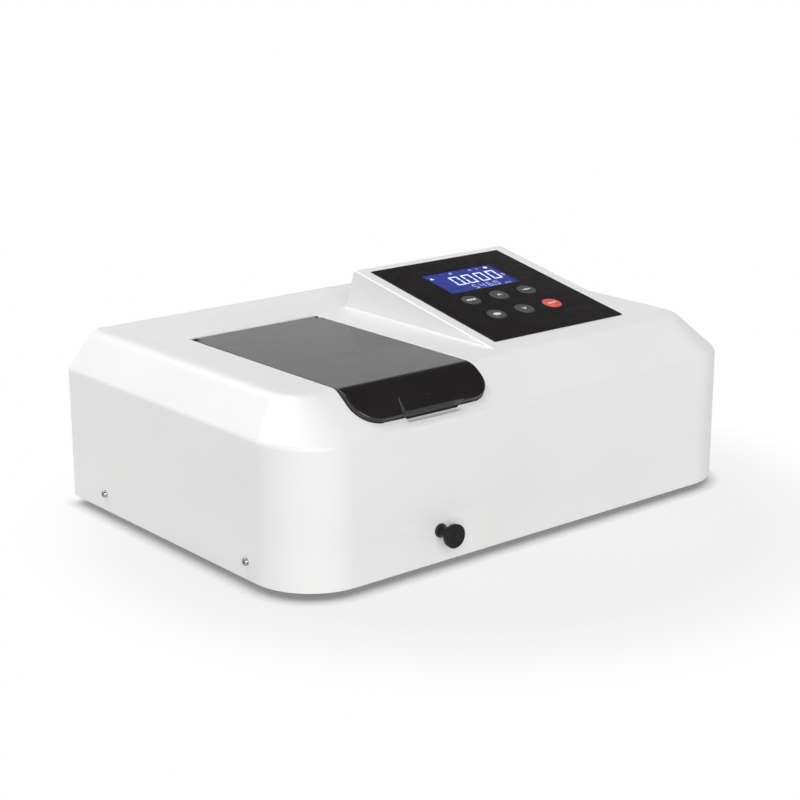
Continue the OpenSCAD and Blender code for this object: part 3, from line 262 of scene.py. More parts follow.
class Shader:
    """A node material under construction."""

    def __init__(self, name):
        self.mat = bpy.data.materials.new(name)
        self.mat.use_nodes = True
        self.tree = self.mat.node_tree
        self.bsdf = self.tree.nodes["Principled BSDF"]
        self.out = self.tree.nodes["Material Output"]
        self.coords = self.tree.nodes.new("ShaderNodeTexCoord").outputs["Object"]

    def link(self, a, b):
        self.tree.links.new(a, b)

    def node(self, kind, **inputs):
        n = self.tree.nodes.new(kind)
        for key, value in inputs.items():
            n.inputs[key.replace("_", " ")].default_value = value
        return n

    def stretched(self, scale):
        m = self.tree.nodes.new("ShaderNodeMapping")
        m.inputs["Scale"].default_value = scale
        self.link(self.coords, m.inputs["Vector"])
        return m.outputs["Vector"]

    def noise(self, scale, detail=4.0, vector=None):
        n = self.node("ShaderNodeTexNoise", Scale=scale, Detail=detail)
        self.link(vector or self.coords, n.inputs["Vector"])
        return n.outputs["Fac"]

    def cells(self, scale, vector=None, feature="F1"):
        n = self.node("ShaderNodeTexVoronoi", Scale=scale)
        n.feature = feature
        self.link(vector or self.coords, n.inputs["Vector"])
        return n.outputs["Distance"]

    def ranged(self, value, lo, hi, in_lo=0.3, in_hi=0.7):
        n = self.node("ShaderNodeMapRange")
        n.inputs["From Min"].default_value = in_lo
        n.inputs["From Max"].default_value = in_hi
        n.inputs["To Min"].default_value = lo
        n.inputs["To Max"].default_value = hi
        self.link(value, n.inputs["Value"])
        return n.outputs["Result"]

    def mixed(self, factor, a, b):
        n = self.tree.nodes.new("ShaderNodeMix")
        n.data_type = "RGBA"
        if isinstance(factor, float):
            n.inputs["Factor"].default_value = factor
        else:
            self.link(factor, n.inputs["Factor"])
        for key, value in ((6, a), (7, b)):
            if isinstance(value, (tuple, list)):
                n.inputs[key].default_value = (*value[:3], 1.0)
            else:
                self.link(value, n.inputs[key])
        return n.outputs[2]

    def bump(self, height, strength, distance, previous=None):
        n = self.node("ShaderNodeBump", Strength=strength, Distance=distance)
        self.link(height, n.inputs["Height"])
        if previous is not None:
            self.link(previous, n.inputs["Normal"])
        return n.outputs["Normal"]

    def edges(self, spread=0.04):
        """1 on convex edges, 0 on flats."""
        g = self.tree.nodes.new("ShaderNodeNewGeometry")
        return self.ranged(g.outputs["Pointiness"], 0.0, 1.0, 0.5 + spread * 0.3, 0.5 + spread)


def tinted(colour, factor):
    return tuple(min(1.0, c * factor) for c in colour[:3])


def surface(name, colour, rough, metal=0.0, tint=0.08, patch=60.0, grain=900.0, grain_depth=0.02,
            stretch=None, coat=0.0, worn=None, speckle=0.0, ior=1.5):
    """General finish: patchy tint, uneven gloss, fine relief, lighter worn edges."""
    s = Shader(name)
    vector = s.stretched(stretch) if stretch else None
    blotch = s.noise(patch, 5.0)
    base = s.mixed(s.ranged(blotch, 0.0, 1.0), tinted(colour, 1 - tint), tinted(colour, 1 + tint))
    fine = s.noise(grain, 3.0, vector)
    if speckle:
        base = s.mixed(s.ranged(fine, 0.0, speckle, 0.45, 0.8), base, tinted(colour, 1.5))
    if worn:
        base = s.mixed(s.edges(), base, worn)
    s.link(base, s.bsdf.inputs["Base Color"])
    smudge = s.noise(patch * 2.3, 6.0, vector)
    s.link(s.ranged(smudge, rough[0], rough[1]), s.bsdf.inputs["Roughness"])
    s.bsdf.inputs["Metallic"].default_value = metal
    s.bsdf.inputs["IOR"].default_value = ior
    if coat:
        s.bsdf.inputs["Coat Weight"].default_value = coat
        s.bsdf.inputs["Coat Roughness"].default_value = 0.08
    wavy = s.bump(blotch, 0.15, 0.0004)
    s.link(s.bump(fine, 1.0, grain_depth * MM, wavy), s.bsdf.inputs["Normal"])
    return s.mat


def brushed(name, colour, rough, along=(1.0, 1.0, 40.0), **extra):
    """Metal with fine scratches along one direction."""
    return surface(name, colour, rough, metal=1.0, stretch=along, grain=260.0,
                   grain_depth=0.012, **extra)


def textured(name, colour, rough, cell=1400.0, depth=0.05, **extra):
    """Powder coat or moulded texture: small cells over the general finish."""
    mat = surface(name, colour, rough, **extra)
    s = Shader.__new__(Shader)
    s.mat, s.tree = mat, mat.node_tree
    s.bsdf = s.tree.nodes["Principled BSDF"]
    s.coords = s.tree.nodes.new("ShaderNodeTexCoord").outputs["Object"]
    before = s.bsdf.inputs["Normal"].links[0].from_socket
    s.link(s.bump(s.cells(cell), 0.8, depth * MM, before), s.bsdf.inputs["Normal"])
    return mat


def clear(name, colour, haze=0.03):
    """Thin clear sheet: light passes straight through, the surface still mirrors."""
    s = Shader(name)
    s.tree.nodes.remove(s.bsdf)
    through = s.tree.nodes.new("ShaderNodeBsdfTransparent")
    dust = s.ranged(s.noise(300.0, 6.0), 0.0, haze, 0.5, 0.8)
    s.link(s.mixed(dust, colour, (0.6, 0.6, 0.6)), through.inputs["Color"])
    gloss = s.tree.nodes.new("ShaderNodeBsdfGlossy")
    gloss.inputs["Color"].default_value = (0.9, 0.92, 0.95, 1)
    s.link(s.ranged(s.noise(90.0, 5.0), 0.03, 0.09), gloss.inputs["Roughness"])
    fresnel = s.node("ShaderNodeFresnel", IOR=1.38)
    s.link(s.bump(s.noise(40.0), 0.1, 0.0002), fresnel.inputs["Normal"])
    # only the face towards the eye mirrors; light leaving through the back passes on
    side = s.tree.nodes.new("ShaderNodeNewGeometry")
    front = s.tree.nodes.new("ShaderNodeMath")
    front.operation = "MULTIPLY"
    s.link(fresnel.outputs["Fac"], front.inputs[0])
    s.link(s.ranged(side.outputs["Backfacing"], 1.0, 0.0, 0.0, 1.0), front.inputs[1])
    mix = s.tree.nodes.new("ShaderNodeMixShader")
    s.link(front.outputs["Value"], mix.inputs["Fac"])
    s.link(through.outputs["BSDF"], mix.inputs[1])
    s.link(gloss.outputs["BSDF"], mix.inputs[2])
    s.link(mix.outputs["Shader"], s.out.inputs["Surface"])
    return s.mat


def glowing(name, colour, strength, fine=1500.0):
    """Backlit surface with a faint pixel structure and an uneven backlight."""
    s = Shader(name)
    cells = s.cells(fine, feature="DISTANCE_TO_EDGE")
    soft = s.ranged(s.noise(30.0), 0.9, 1.1)
    dots = s.ranged(cells, 0.88, 1.0, 0.0, 0.2)
    both = s.tree.nodes.new("ShaderNodeMath")
    both.operation = "MULTIPLY"
    s.link(soft, both.inputs[0])
    s.link(dots, both.inputs[1])
    scaled = s.tree.nodes.new("ShaderNodeMath")
    scaled.operation = "MULTIPLY"
    scaled.inputs[1].default_value = strength
    s.link(both.outputs["Value"], scaled.inputs[0])
    s.bsdf.inputs["Base Color"].default_value = (*tinted(colour, 0.5), 1)
    s.bsdf.inputs["Emission Color"].default_value = (*colour, 1)
    s.link(scaled.outputs["Value"], s.bsdf.inputs["Emission Strength"])
    s.link(s.ranged(s.noise(200.0), 0.3, 0.45), s.bsdf.inputs["Roughness"])
    s.link(s.bump(cells, 0.3, 0.00002), s.bsdf.inputs["Normal"])
    return s.mat


def circuit(name, mask, copper):
    """Solder mask with faint tracks and small vias."""
    s = Shader(name)
    tracks = s.node("ShaderNodeTexBrick", Scale=140.0)
    s.link(s.coords, tracks.inputs["Vector"])
    for key, value in (("Color1", (0, 0, 0, 1)), ("Color2", (0, 0, 0, 1)), ("Mortar", (1, 1, 1, 1))):
        tracks.inputs[key].default_value = value
    tracks.inputs["Mortar Size"].default_value = 0.03
    lines = tracks.outputs["Fac"]
    vias = s.ranged(s.cells(260.0), 1.0, 0.0, 0.05, 0.12)
    base = s.mixed(s.ranged(s.noise(50.0), 0.0, 1.0), tinted(mask, 0.85), tinted(mask, 1.15))
    base = s.mixed(s.ranged(lines, 0.0, 0.5, 0.0, 1.0), base, tinted(mask, 1.9))
    base = s.mixed(vias, base, copper)
    s.link(base, s.bsdf.inputs["Base Color"])
    s.link(s.ranged(s.noise(160.0), 0.25, 0.45), s.bsdf.inputs["Roughness"])
    s.link(s.bump(lines, 0.4, 0.00005), s.bsdf.inputs["Normal"])
    return s.mat


def striped(name, colour, pitch_mm, rough):
    """Flat cable: parallel round conductors, with painted shade in the grooves between them."""
    s = Shader(name)
    wave = s.node("ShaderNodeTexWave", Scale=1.0 / (pitch_mm * MM) / 2 / math.pi)
    wave.bands_direction = "Y"
    s.link(s.coords, wave.inputs["Vector"])
    height = wave.outputs["Fac"]
    # darker where the wave is low: painted shade in the grooves between the conductors
    base = s.mixed(height, tinted(colour, 0.7), colour)
    s.link(base, s.bsdf.inputs["Base Color"])
    s.link(s.ranged(s.noise(200.0), rough[0], rough[1]), s.bsdf.inputs["Roughness"])
    s.link(s.bump(height, 0.6, 0.0003), s.bsdf.inputs["Normal"])
    return s.mat


def shell_white():
    """Glossy white moulding: faint waviness, fine orange peel, a little dust on the flats, a painted
    highlight on convex edges.
    """
    s = Shader("shell_white")
    broad = s.noise(9.0, 3.0)
    peel = s.noise(1100.0, 2.0)
    base = s.mixed(s.ranged(broad, 0.0, 1.0), (0.715, 0.715, 0.71), (0.745, 0.745, 0.742))
    specks = s.ranged(s.cells(130.0), 1.0, 0.0, 0.012, 0.03)
    base = s.mixed(s.ranged(specks, 0.0, 0.12, 0.0, 1.0), base, (0.45, 0.44, 0.42))
    # convex edges made lighter by the pointiness mask: a painted highlight along the rims
    base = s.mixed(s.ranged(s.edges(), 0.0, 0.5, 0.0, 1.0), base, (0.8, 0.8, 0.79))
    s.link(base, s.bsdf.inputs["Base Color"])
    s.link(s.ranged(s.noise(40.0, 6.0), 0.3, 0.4), s.bsdf.inputs["Roughness"])
    wavy = s.bump(broad, 0.08, 0.0004)
    s.link(s.bump(peel, 0.6, 0.00001, wavy), s.bsdf.inputs["Normal"])
    s.bsdf.inputs["Subsurface Weight"].default_value = 0.0
    return s.mat


def make_finishes():
    """One material for each material slot of the record."""
    f = {"shell": shell_white()}
    f["rear_paint"] = textured("rear_paint", (0.66, 0.66, 0.64), (0.42, 0.55), tint=0.03, coat=0.1)
    f["chassis_steel"] = brushed("chassis_steel", (0.6, 0.61, 0.63), (0.32, 0.5), (40.0, 1.0, 40.0))
    f["foot_rubber"] = textured("foot_rubber", (0.03, 0.03, 0.03), (0.7, 0.9), 900.0, 0.08, tint=0.2)
    f["zinc_screws"] = brushed("zinc_screws", (0.62, 0.62, 0.64), (0.28, 0.45))
    f["chrome_screws"] = brushed("chrome_screws", (0.4, 0.4, 0.42), (0.1, 0.2), tint=0.04)
    f["gloss_black"] = surface("gloss_black", (0.011, 0.0092, 0.0096), (0.1, 0.16), tint=0.12,
                               grain_depth=0.004, ior=1.4)
    f["clear_window"] = clear("clear_window", (0.97, 0.98, 1.0))
    f["lcd_blue"] = glowing("lcd_blue", (0.0185, 0.034, 0.25), 0.78)
    f["circuit_board"] = circuit("circuit_board", (0.02, 0.16, 0.06), (0.7, 0.5, 0.25))
    f["power_circuit"] = circuit("power_circuit", (0.3, 0.2, 0.09), (0.6, 0.55, 0.5))
    f["black_moulding"] = textured("black_moulding", (0.028, 0.028, 0.03), (0.4, 0.55), 1100.0, 0.04,
                                   tint=0.15)
    f["foam_black"] = textured("foam_black", (0.02, 0.02, 0.02), (0.85, 1.0), 700.0, 0.25, tint=0.3)
    f["clear_glass"] = clear("clear_glass", (0.9, 0.95, 0.97))
    f["ground_steel"] = brushed("ground_steel", (0.62, 0.63, 0.65), (0.16, 0.28), (60.0, 1.0, 60.0))
    f["anodised_black"] = surface("anodised_black", (0.03, 0.03, 0.034), (0.32, 0.48), metal=0.6,
                                  worn=(0.2, 0.2, 0.21))
    f["cast_black"] = textured("cast_black", (0.04, 0.04, 0.042), (0.5, 0.7), 500.0, 0.15, metal=0.3,
                               worn=(0.22, 0.22, 0.22))
    f["plate_steel"] = brushed("plate_steel", (0.66, 0.67, 0.69), (0.25, 0.42), (1.0, 40.0, 40.0))
    f["mirror_coat"] = surface("mirror_coat", (0.88, 0.9, 0.92), (0.02, 0.05), metal=1.0, tint=0.02,
                               grain_depth=0.001)
    f["motor_black"] = surface("motor_black", (0.03, 0.03, 0.032), (0.35, 0.5), coat=0.3,
                               worn=(0.25, 0.25, 0.26))
    f["motor_can"] = brushed("motor_can", (0.58, 0.59, 0.6), (0.3, 0.42), (1.0, 50.0, 50.0))
    f["ceramic_white"] = surface("ceramic_white", (0.78, 0.75, 0.68), (0.45, 0.65), speckle=0.2)
    f["lamp_glass"] = clear("lamp_glass", (0.95, 0.96, 0.98))
    f["core_iron"] = brushed("core_iron", (0.3, 0.3, 0.32), (0.4, 0.6), (1.0, 60.0, 1.0),
                             worn=(0.4, 0.3, 0.2))
    f["brass_parts"] = brushed("brass_parts", (0.72, 0.53, 0.22), (0.22, 0.38))
    f["socket_metal"] = brushed("socket_metal", (0.6, 0.6, 0.61), (0.25, 0.4))
    f["fan_black"] = surface("fan_black", (0.025, 0.025, 0.027), (0.35, 0.5), tint=0.15)
    f["chrome_wire"] = brushed("chrome_wire", (0.7, 0.7, 0.72), (0.1, 0.2))
    f["ribbon_grey"] = striped("ribbon_grey", (0.45, 0.45, 0.47), 1.27, (0.4, 0.55))
    f["lid_dark"] = surface("lid_dark", (0.014, 0.0125, 0.0125), (0.12, 0.2), tint=0.1, patch=35.0,
                            grain_depth=0.004)
    f["knob_black"] = textured("knob_black", (0.008, 0.008, 0.008), (0.34, 0.46), 1500.0, 0.015,
                               tint=0.1, ior=1.25)
    f["button_grey"] = textured("button_grey", (0.052, 0.052, 0.055), (0.42, 0.55), 1600.0, 0.02, tint=0.1)
    f["button_red"] = textured("button_red", (0.62, 0.085, 0.07), (0.35, 0.5), 1600.0, 0.02, tint=0.06)
    f["satin_aluminium"] = brushed("satin_aluminium", (0.68, 0.69, 0.7), (0.25, 0.4))
    return f


FINISH = make_finishes()
PRINT = surface("print_light", (0.72, 0.72, 0.72), (0.5, 0.65), tint=0.05)
LCD_LIGHT = glowing("lcd_light", (0.86, 0.9, 1.0), 1.0)
LCD_DIM = glowing("lcd_dim", (0.55, 0.62, 0.92), 0.8)
SEAL_PALE = surface("seal_pale", (0.74, 0.6, 0.58), (0.5, 0.65), tint=0.05)


# ---- housing ---------------------------------------------------------------------------

PATCH_X0 = POD_X0 - 5.0
PATCH_X1 = POD_X1 + 5.0
SLOT_X0 = LID_LO.x - SEAM
SLOT_X1 = LID_HI.x + SEAM
CORNER_STEPS = 20


def inset_at(z, run, skin=0.0, edge=WALL_EDGE_R, deck=DECK_EDGE_R):
    """How far a wall has moved in at height z; run is its whole shift from wall to deck."""
    turn = math.atan(run / RISE)
    zw = Z_WALL - skin * math.tan(turn / 2)
    zd = Z_DECK - skin
    z1 = zw - edge * math.tan(turn / 2)
    z3 = zd - deck + deck * math.sin(turn)
    if z <= z1:
        return skin
    if z < z1 + edge * math.sin(turn):
        return skin + edge - math.sqrt(edge * edge - (z - z1) ** 2)
    if z <= z3 or not deck:
        return skin + (z - zw) * math.tan(turn)
    end = run + (skin + deck) * math.tan((math.pi / 2 - turn) / 2)
    return end - math.sqrt(max(0.0, deck * deck - (z - zd + deck) ** 2))


def loop_at(z, skin, y_end, front_lines=(), back_lines=(), edge=WALL_EDGE_R, deck=DECK_EDGE_R):
    """Outline of the housing at height z, anticlockwise from the rear right corner."""
    hx = HALF_W - inset_at(z, SIDE_RUN, skin, edge, deck)
    yf = FRONT_Y + inset_at(z, FRONT_RUN, skin, edge, deck)
    r = max(4.0, 50 - skin - 27 * min(1.0, max(0.0, (z - Z_WALL) / RISE)))
    points = [(hx, y_end)] + [(x, y_end) for x in reversed(back_lines)] + [(-hx, y_end)]
    points += arc(r - hx, yf + r, r, 180, 270, CORNER_STEPS)
    points += [(x, yf) for x in front_lines]
    points += arc(hx - r, yf + r, r, 270, 360, CORNER_STEPS)
    return [(x, y, z) for x, y in points]


def skin_faces(count, n):
    """Quads between stacked outlines of n points."""
    faces = []
    for k in range(count - 1):
        for i in range(n):
            j = (i + 1) % n
            faces.append((k * n + i, k * n + j, (k + 1) * n + j, (k + 1) * n + i))
    return faces


def outer_levels():
    """Heights of the outlines, close together where the form turns."""
    levels = {Z_BOTTOM, Z_BOTTOM + 40, Z_BOTTOM + 80}
    for run in (SIDE_RUN, FRONT_RUN):
        turn = math.atan(run / RISE)
        z1 = Z_WALL - WALL_EDGE_R * math.tan(turn / 2)
        for k in range(8):
            levels.add(z1 + WALL_EDGE_R * math.sin(turn * k / 7))
        for k in range(10):
            a = turn + (math.pi / 2 - turn) * k / 9
            levels.add(Z_DECK - DECK_EDGE_R + DECK_EDGE_R * math.sin(a))
    out = []
    for z in sorted(levels):
        if not out or z - out[-1] > 0.02:
            out.append(z)
    out[-1] = Z_DECK
    return out


def pod_rows():
    """(y, height above the deck) along the middle of the pod, front to back."""
    blend, top_r, foot_r = 30.0, 2.4, 3.0
    reach = blend * math.tan(POD_A / 2)
    rows = [(POD_FRONT_Y - 3.7, 0.0)]
    for k in range(5):
        a = POD_A * k / 4
        rows.append((POD_FRONT_Y - reach + blend * math.sin(a), blend * (1 - math.cos(a))))
    for h in (2.2, 4.9, 6.3, 7.8, 16.0):
        rows.append((POD_FRONT_Y + h / math.tan(POD_A), h))
    fall = math.atan2(POD_TOP_H, POD_BACK_Y - POD_TOP_Y)
    reach = top_r * math.tan((POD_A + fall) / 2)
    cy = POD_TOP_Y - reach * math.cos(POD_A) + top_r * math.sin(POD_A)
    ch = POD_TOP_H - reach * math.sin(POD_A) - top_r * math.cos(POD_A)
    for k in range(9):
        a = POD_A - (POD_A + fall) * k / 8
        rows.append((cy - top_r * math.sin(a), ch + top_r * math.cos(a)))
    for h in (20.0, 7.8, 4.9):
        rows.append((POD_BACK_Y - h / math.tan(fall), h))
    reach = foot_r * math.tan(fall / 2)
    for k in range(7):
        a = fall * (1 - k / 6)
        rows.append((POD_BACK_Y + reach - foot_r * math.sin(a), foot_r * (1 - math.cos(a))))
    rows.append((POD_BACK_Y + 5.0, 0.0))
    return rows


def pod_section(h):
    """(x, height) across the pod where its top is h above the deck: foot fillet, wall, edge."""
    foot, edge, draft = 1.4, 1.5, 0.15
    foot_h = min(foot, 0.45 * h)
    edge_h = min(edge, 0.45 * h)
    half = [(-5.0, 0.0)]
    for k in range(7):
        a = math.pi / 2 * k / 6
        half.append((-foot + (foot - draft) * math.sin(a), foot_h * (1 - math.cos(a))))
    for k in range(7):
        a = math.pi / 2 * k / 6
        half.append((draft + edge * (1 - math.cos(a)), h - edge_h + edge_h * math.sin(a)))
    left = [(POD_X0 + x, z) for x, z in half]
    right = [(POD_X1 - x, z) for x, z in reversed(half)]
    return left + right


def housing_blank():
    """Closed outer form of the housing with the pod grown out of the deck."""
    front_lines = [SLOT_X0 - 3, SLOT_X0 + 3, SLOT_X1 - 3, SLOT_X1 + 3, PATCH_X0, PATCH_X1]
    back_lines = [PATCH_X0, PATCH_X1]
    levels = outer_levels()
    loops = [loop_at(z, 0.0, BACK_Y, front_lines, back_lines) for z in levels]
    n = len(loops[0])
    verts = [p for loop in loops for p in loop]
    faces = skin_faces(len(loops), n)
    faces.append(tuple(range(n - 1, -1, -1)))
    deck = (len(loops) - 1) * n
    first = len(verts)
    rows = pod_rows()
    for y, h in rows:
        verts += [(x, y, Z_DECK + z) for x, z in pod_section(h)]
    cols = len(pod_section(1.0))

    def cell(r, c):
        return first + r * cols + c

    for r in range(len(rows) - 1):
        for c in range(cols - 1):
            faces.append((cell(r, c), cell(r, c + 1), cell(r + 1, c + 1), cell(r + 1, c)))
    last_row, last_col = len(rows) - 1, cols - 1
    front = 4 + CORNER_STEPS + 1
    at_x0 = front + 4
    at_x1 = front + 5
    left_side = [deck + i for i in range(2, at_x0 + 1)]
    right_side = [deck + i for i in range(at_x1, n)] + [deck, deck + 1]
    faces.append(tuple(left_side + [cell(r, 0) for r in range(len(rows))]))
    faces.append(tuple([deck + at_x0, deck + at_x1] + [cell(0, c) for c in range(last_col, -1, -1)]))
    faces.append(tuple(right_side + [cell(r, last_col) for r in range(last_row, -1, -1)]))
    faces.append(tuple([deck + 1, deck + 2] + [cell(last_row, c) for c in range(cols)]))
    return new_object("housing", verts, faces)


def slope_point(u, d):
    """(y, z) on the front slope, u up the slope and d below its surface."""
    p = SLOPE @ Vector((0, u, -d))
    return p.y, p.z


def fold_y(z, d):
    """y where a level line at height z meets the slope line at depth d."""
    y, z0 = slope_point(0, d)
    return y + (z - z0) / math.tan(SLOPE_A)


def lid_slot_cutter():
    """The opening in the housing that the lid lies in."""
    low, depth = Z_DECK - SKIN - 0.5, SKIN + 0.5
    back = LID_HI.y + 1.6
    profile = [(back, low), (back, Z_DECK + 10), (FRONT_Y, Z_DECK + 10), slope_point(LID_U - 0.5, -9),
               slope_point(LID_U - 0.5, depth), (fold_y(low, depth), low)]
    block = prisms("slot", [(profile, SLOT_X0, SLOT_X1, ALONG_X)])
    r, u = LID_CORNER_R + SEAM, LID_U - 0.5
    for side in (-1, 1):
        edge = SLOT_X0 if side < 0 else SLOT_X1
        cx = edge - side * r
        corner = [(cx, u - 2), (edge + side * 2, u - 2), (edge + side * 2, u + r)]
        corner += [(cx + side * r * math.cos(a), u + r - r * math.sin(a))
                   for a in [math.pi / 2 * k / 16 for k in range(17)]]
        combine(block, prisms("corner", [(corner, -14, 14, SLOPE)]))
    return block


def inner_cutter():
    """Hollow of the housing, open at the back and below."""
    levels = [Z_BOTTOM - 1]
    for run in (FRONT_RUN, SIDE_RUN):
        levels.append(Z_WALL - SKIN * math.tan(math.atan(run / RISE) / 2))
    levels.append(Z_DECK - SKIN)
    loops = [loop_at(z, SKIN, BACK_Y + 5, edge=0.0, deck=0.0) for z in sorted(levels)]
    n = len(loops[0])
    faces = skin_faces(len(loops), n)
    faces.append(tuple(range(n - 1, -1, -1)))
    faces.append(tuple(range((len(loops) - 1) * n, len(loops) * n)))
    return new_object("hollow", [p for loop in loops for p in loop], faces)


def pod_cutter():
    """Hollow under the pod."""
    lean = (POD_BACK_Y - POD_TOP_Y) / POD_TOP_H
    y_in = POD_FRONT_Y + 10
    back = POD_BACK_Y - SKIN / math.cos(math.atan(lean))
    slope = math.tan(POD_A)
    top = (back + lean * POD_FRONT_Y * slope + lean * SKIN / math.cos(POD_A)) / (1 + lean * slope)
    skin_z = Z_DECK - SKIN / math.cos(POD_A)
    low = Z_DECK - SKIN - 1
    profile = [(y_in, low), (back + lean * (Z_DECK - low), low),
               (top, skin_z + (top - POD_FRONT_Y) * slope), (y_in, skin_z + (y_in - POD_FRONT_Y) * slope)]
    return prisms("pod_hollow", [(profile, POD_X0 + SKIN, POD_X1 - SKIN, ALONG_X)])


def build_housing():
    """White moulding with its openings, 3 mm thick."""
    rod = middle("pull_rod")
    body = housing_blank()
    # the finger notch comes first and a hair off centre, because the exact boolean leaves
    # a hole where its faces would meet the lid opening's
    across = Matrix.Rotation(math.pi / 2, 4, "Y")
    notch = Matrix.Translation(SLOPE @ Vector((LID_X + 2, LID_U, 6))) @ across
    round_cut = circle(0.013, 0.017, NOTCH_R, 90)
    combine(body, prisms("notch", [(round_cut, -NOTCH_HALF, NOTCH_HALF, notch)]))
    combine(body, inner_cutter())
    combine(body, pod_cutter())
    combine(body, lid_slot_cutter())
    outline = rounded_rect(PANEL.x, PANEL.y, PANEL_W + 0.4, PANEL_H + 0.4, PANEL_R + 0.2)
    combine(body, prisms("recess", [(outline, -1.0, 9, FACE)]))
    holes = [(rect(GLASS.x - LCD_W / 2 - 0.5, GLASS.y - LCD_H / 2 - 0.5,
                   GLASS.x + LCD_W / 2 + 0.5, GLASS.y + LCD_H / 2 + 0.5), -5, 1, FACE)]
    for name in BUTTONS:
        c = on_face("button_" + name)
        holes.append((circle(c.x, c.y, BUTTON_R + 0.35), -5, 1, FACE))
    holes.append((circle(rod.x, rod.z, 4.42), -FRONT_Y - 5, -FRONT_Y + 2, ALONG_Y))
    for sx in (-1, 1):
        for y in (-90.0, 104.0):
            holes.append((circle(y, 20.0, 2.2, 24), sx * HALF_W - 5, sx * HALF_W + 5, ALONG_X))
    combine(body, prisms("holes", holes))
    round_edges(body, 0.45, 38, 2)
    smooth(body, 60)
    return place(body, "base", "shell", [FINISH["shell"]], "housing_shell")


# ---- lid -------------------------------------------------------------------------------

FOLD_R = 26.0
FOLD_Y = fold_y(Z_DECK, -LID_PROUD) + FOLD_R * math.tan(SLOPE_A / 2)
FLAT_S = LID_HI.y - FOLD_Y
SLOPE_S = FLAT_S + FOLD_R * SLOPE_A


def lid_bend(x, s, h):
    """Point of the lid: s runs from the back edge down over the fold, h below its top."""
    if s <= FLAT_S:
        return Vector((x, LID_HI.y - s, Z_DECK - h))
    zc = Z_DECK - FOLD_R
    a = min((s - FLAT_S) / FOLD_R, SLOPE_A)
    y = FOLD_Y - (FOLD_R - h) * math.sin(a)
    z = zc + (FOLD_R - h) * math.cos(a)
    run = max(0.0, s - SLOPE_S)
    return Vector((x, y - run * math.cos(SLOPE_A), z - run * math.sin(SLOPE_A)))


def lid_end():
    """Distance along the lid where its lower edge lies."""
    foot = SLOPE.inverted() @ lid_bend(0, SLOPE_S, 0)
    return SLOPE_S + foot.y - LID_U


def lid_side():
    """Left half of the outline: (x from the middle, s, inward x, inward s, edge radius, thickness)."""
    half, end, r = LID_W / 2, lid_end(), LID_CORNER_R
    rows = [(-half, 0.0, 1.0, 1.0, 0.55, 4.0)]
    stations = [6, 60, 120, FLAT_S - 14]
    stations += [FLAT_S + (SLOPE_S - FLAT_S) * k / 8 for k in range(9)]
    stations += [SLOPE_S + (end - r - SLOPE_S) * k / 3 for k in range(1, 4)]
    for s in stations:
        grow = min(1.0, max(0.0, (s - FLAT_S + 14) / (SLOPE_S - FLAT_S + 14)))
        rows.append((-half, s, 1.0, 0.0, 0.55 + 0.45 * grow, 4.0 + 2.5 * grow))
    for k in range(1, 15):
        a = math.pi / 2 * k / 14
        rows.append((r - half - r * math.cos(a), end - r + r * math.sin(a), math.cos(a), -math.sin(a),
                     1.0, 6.5))
    return rows


def build_lid():
    """Dark cover bent over the front edge, with a rounded rim and a raised grip."""
    side = lid_side()
    outline = side + [(-x, s, -nx, ns, r, t) for x, s, nx, ns, r, t in reversed(side)]
    n = len(outline)
    verts, steps = [], 5
    levels = [("top", k) for k in range(steps + 1)] + [("low", k) for k in range(steps, -1, -1)]
    for where, k in levels:
        a = math.pi / 2 * k / steps
        for x, s, nx, ns, r, t in outline:
            deep = r
            if ns > 0:
                deep = 2.6 if where == "top" else 1.3
            h = deep * (1 - math.cos(a))
            if where == "low":
                h = t - h
            inward = 1 - math.sin(a)
            verts.append(lid_bend(LID_X + x + nx * r * inward, s + ns * max(r, deep) * inward, h))
    faces = skin_faces(len(levels), n)
    last = (len(levels) - 1) * n
    for i in range(n // 2 - 1):
        j = n - 1 - i
        faces.append((i, i + 1, j - 1, j))
        faces.append((last + i, last + j, last + j - 1, last + i + 1))
    lid = new_object("lid", verts, faces)
    ears = []
    for sx in (-1, 1):
        x = LID_X + sx * (LID_W / 2 - 2.1)
        ear = rect(x - 2.3, LID_HI.y - 9.6, x + 2.3, LID_HI.y + 8)
        ears.append((ear, Z_DECK - 9, Z_DECK + 5, Matrix()))
    combine(lid, prisms("ears", ears))
    top, foot, crest = 27.4, LID_U - 0.3, LID_PROUD + GRIP_H
    ramp = [(top, 0.5), (top, LID_PROUD), (foot + 0.9, crest), (foot, crest - 0.6), (foot, 0.5)]
    grip = prisms("grip", [(ramp, LID_X - 40, LID_X + 40, SLOPE @ ALONG_X)])
    middle_x = LID_X + 1.5
    plan = [(middle_x - 28.5, foot - 1), (middle_x + 28.5, foot - 1), (middle_x + 22.5, top + 1),
            (middle_x - 22.5, top + 1)]
    combine(grip, prisms("grip_plan", [(plan, -1, 12, SLOPE)]), "INTERSECT")
    combine(lid, grip, "UNION")
    dash = [(LID_X + 2.4, 25.9), (LID_X + 3.5, 26.1), (LID_X + 6.2, 20.3), (LID_X + 5.1, 20.0)]
    combine(lid, prisms("dash", [(dash, LID_PROUD - 0.3, 12, SLOPE)]))
    round_edges(lid, 0.3, 40, 2)
    smooth(lid, 60)
    return place(lid, "lid", "lid_dark", [FINISH["lid_dark"]], "sample_lid")


# ---- display and keys ------------------------------------------------------------------

def build_panel():
    """Glossy black sheet with a window and six round holes."""
    outline = rounded_rect(PANEL.x, PANEL.y, PANEL_W, PANEL_H, PANEL_R)
    sheet = prisms("panel", [(outline, -1.0, 0.4, FACE)])
    holes = [(rounded_rect(GLASS.x, GLASS.y, LCD_W, LCD_H, 0.6, 3), -3, 3, FACE)]
    for name in BUTTONS:
        c = on_face("button_" + name)
        holes.append((circle(c.x, c.y, BUTTON_R + 0.3), -3, 3, FACE))
    combine(sheet, prisms("openings", holes))
    round_edges(sheet, 0.22, 40, 2)
    smooth(sheet, 60)
    return place(sheet, "base", "gloss_black", [FINISH["gloss_black"]], "overlay_panel")


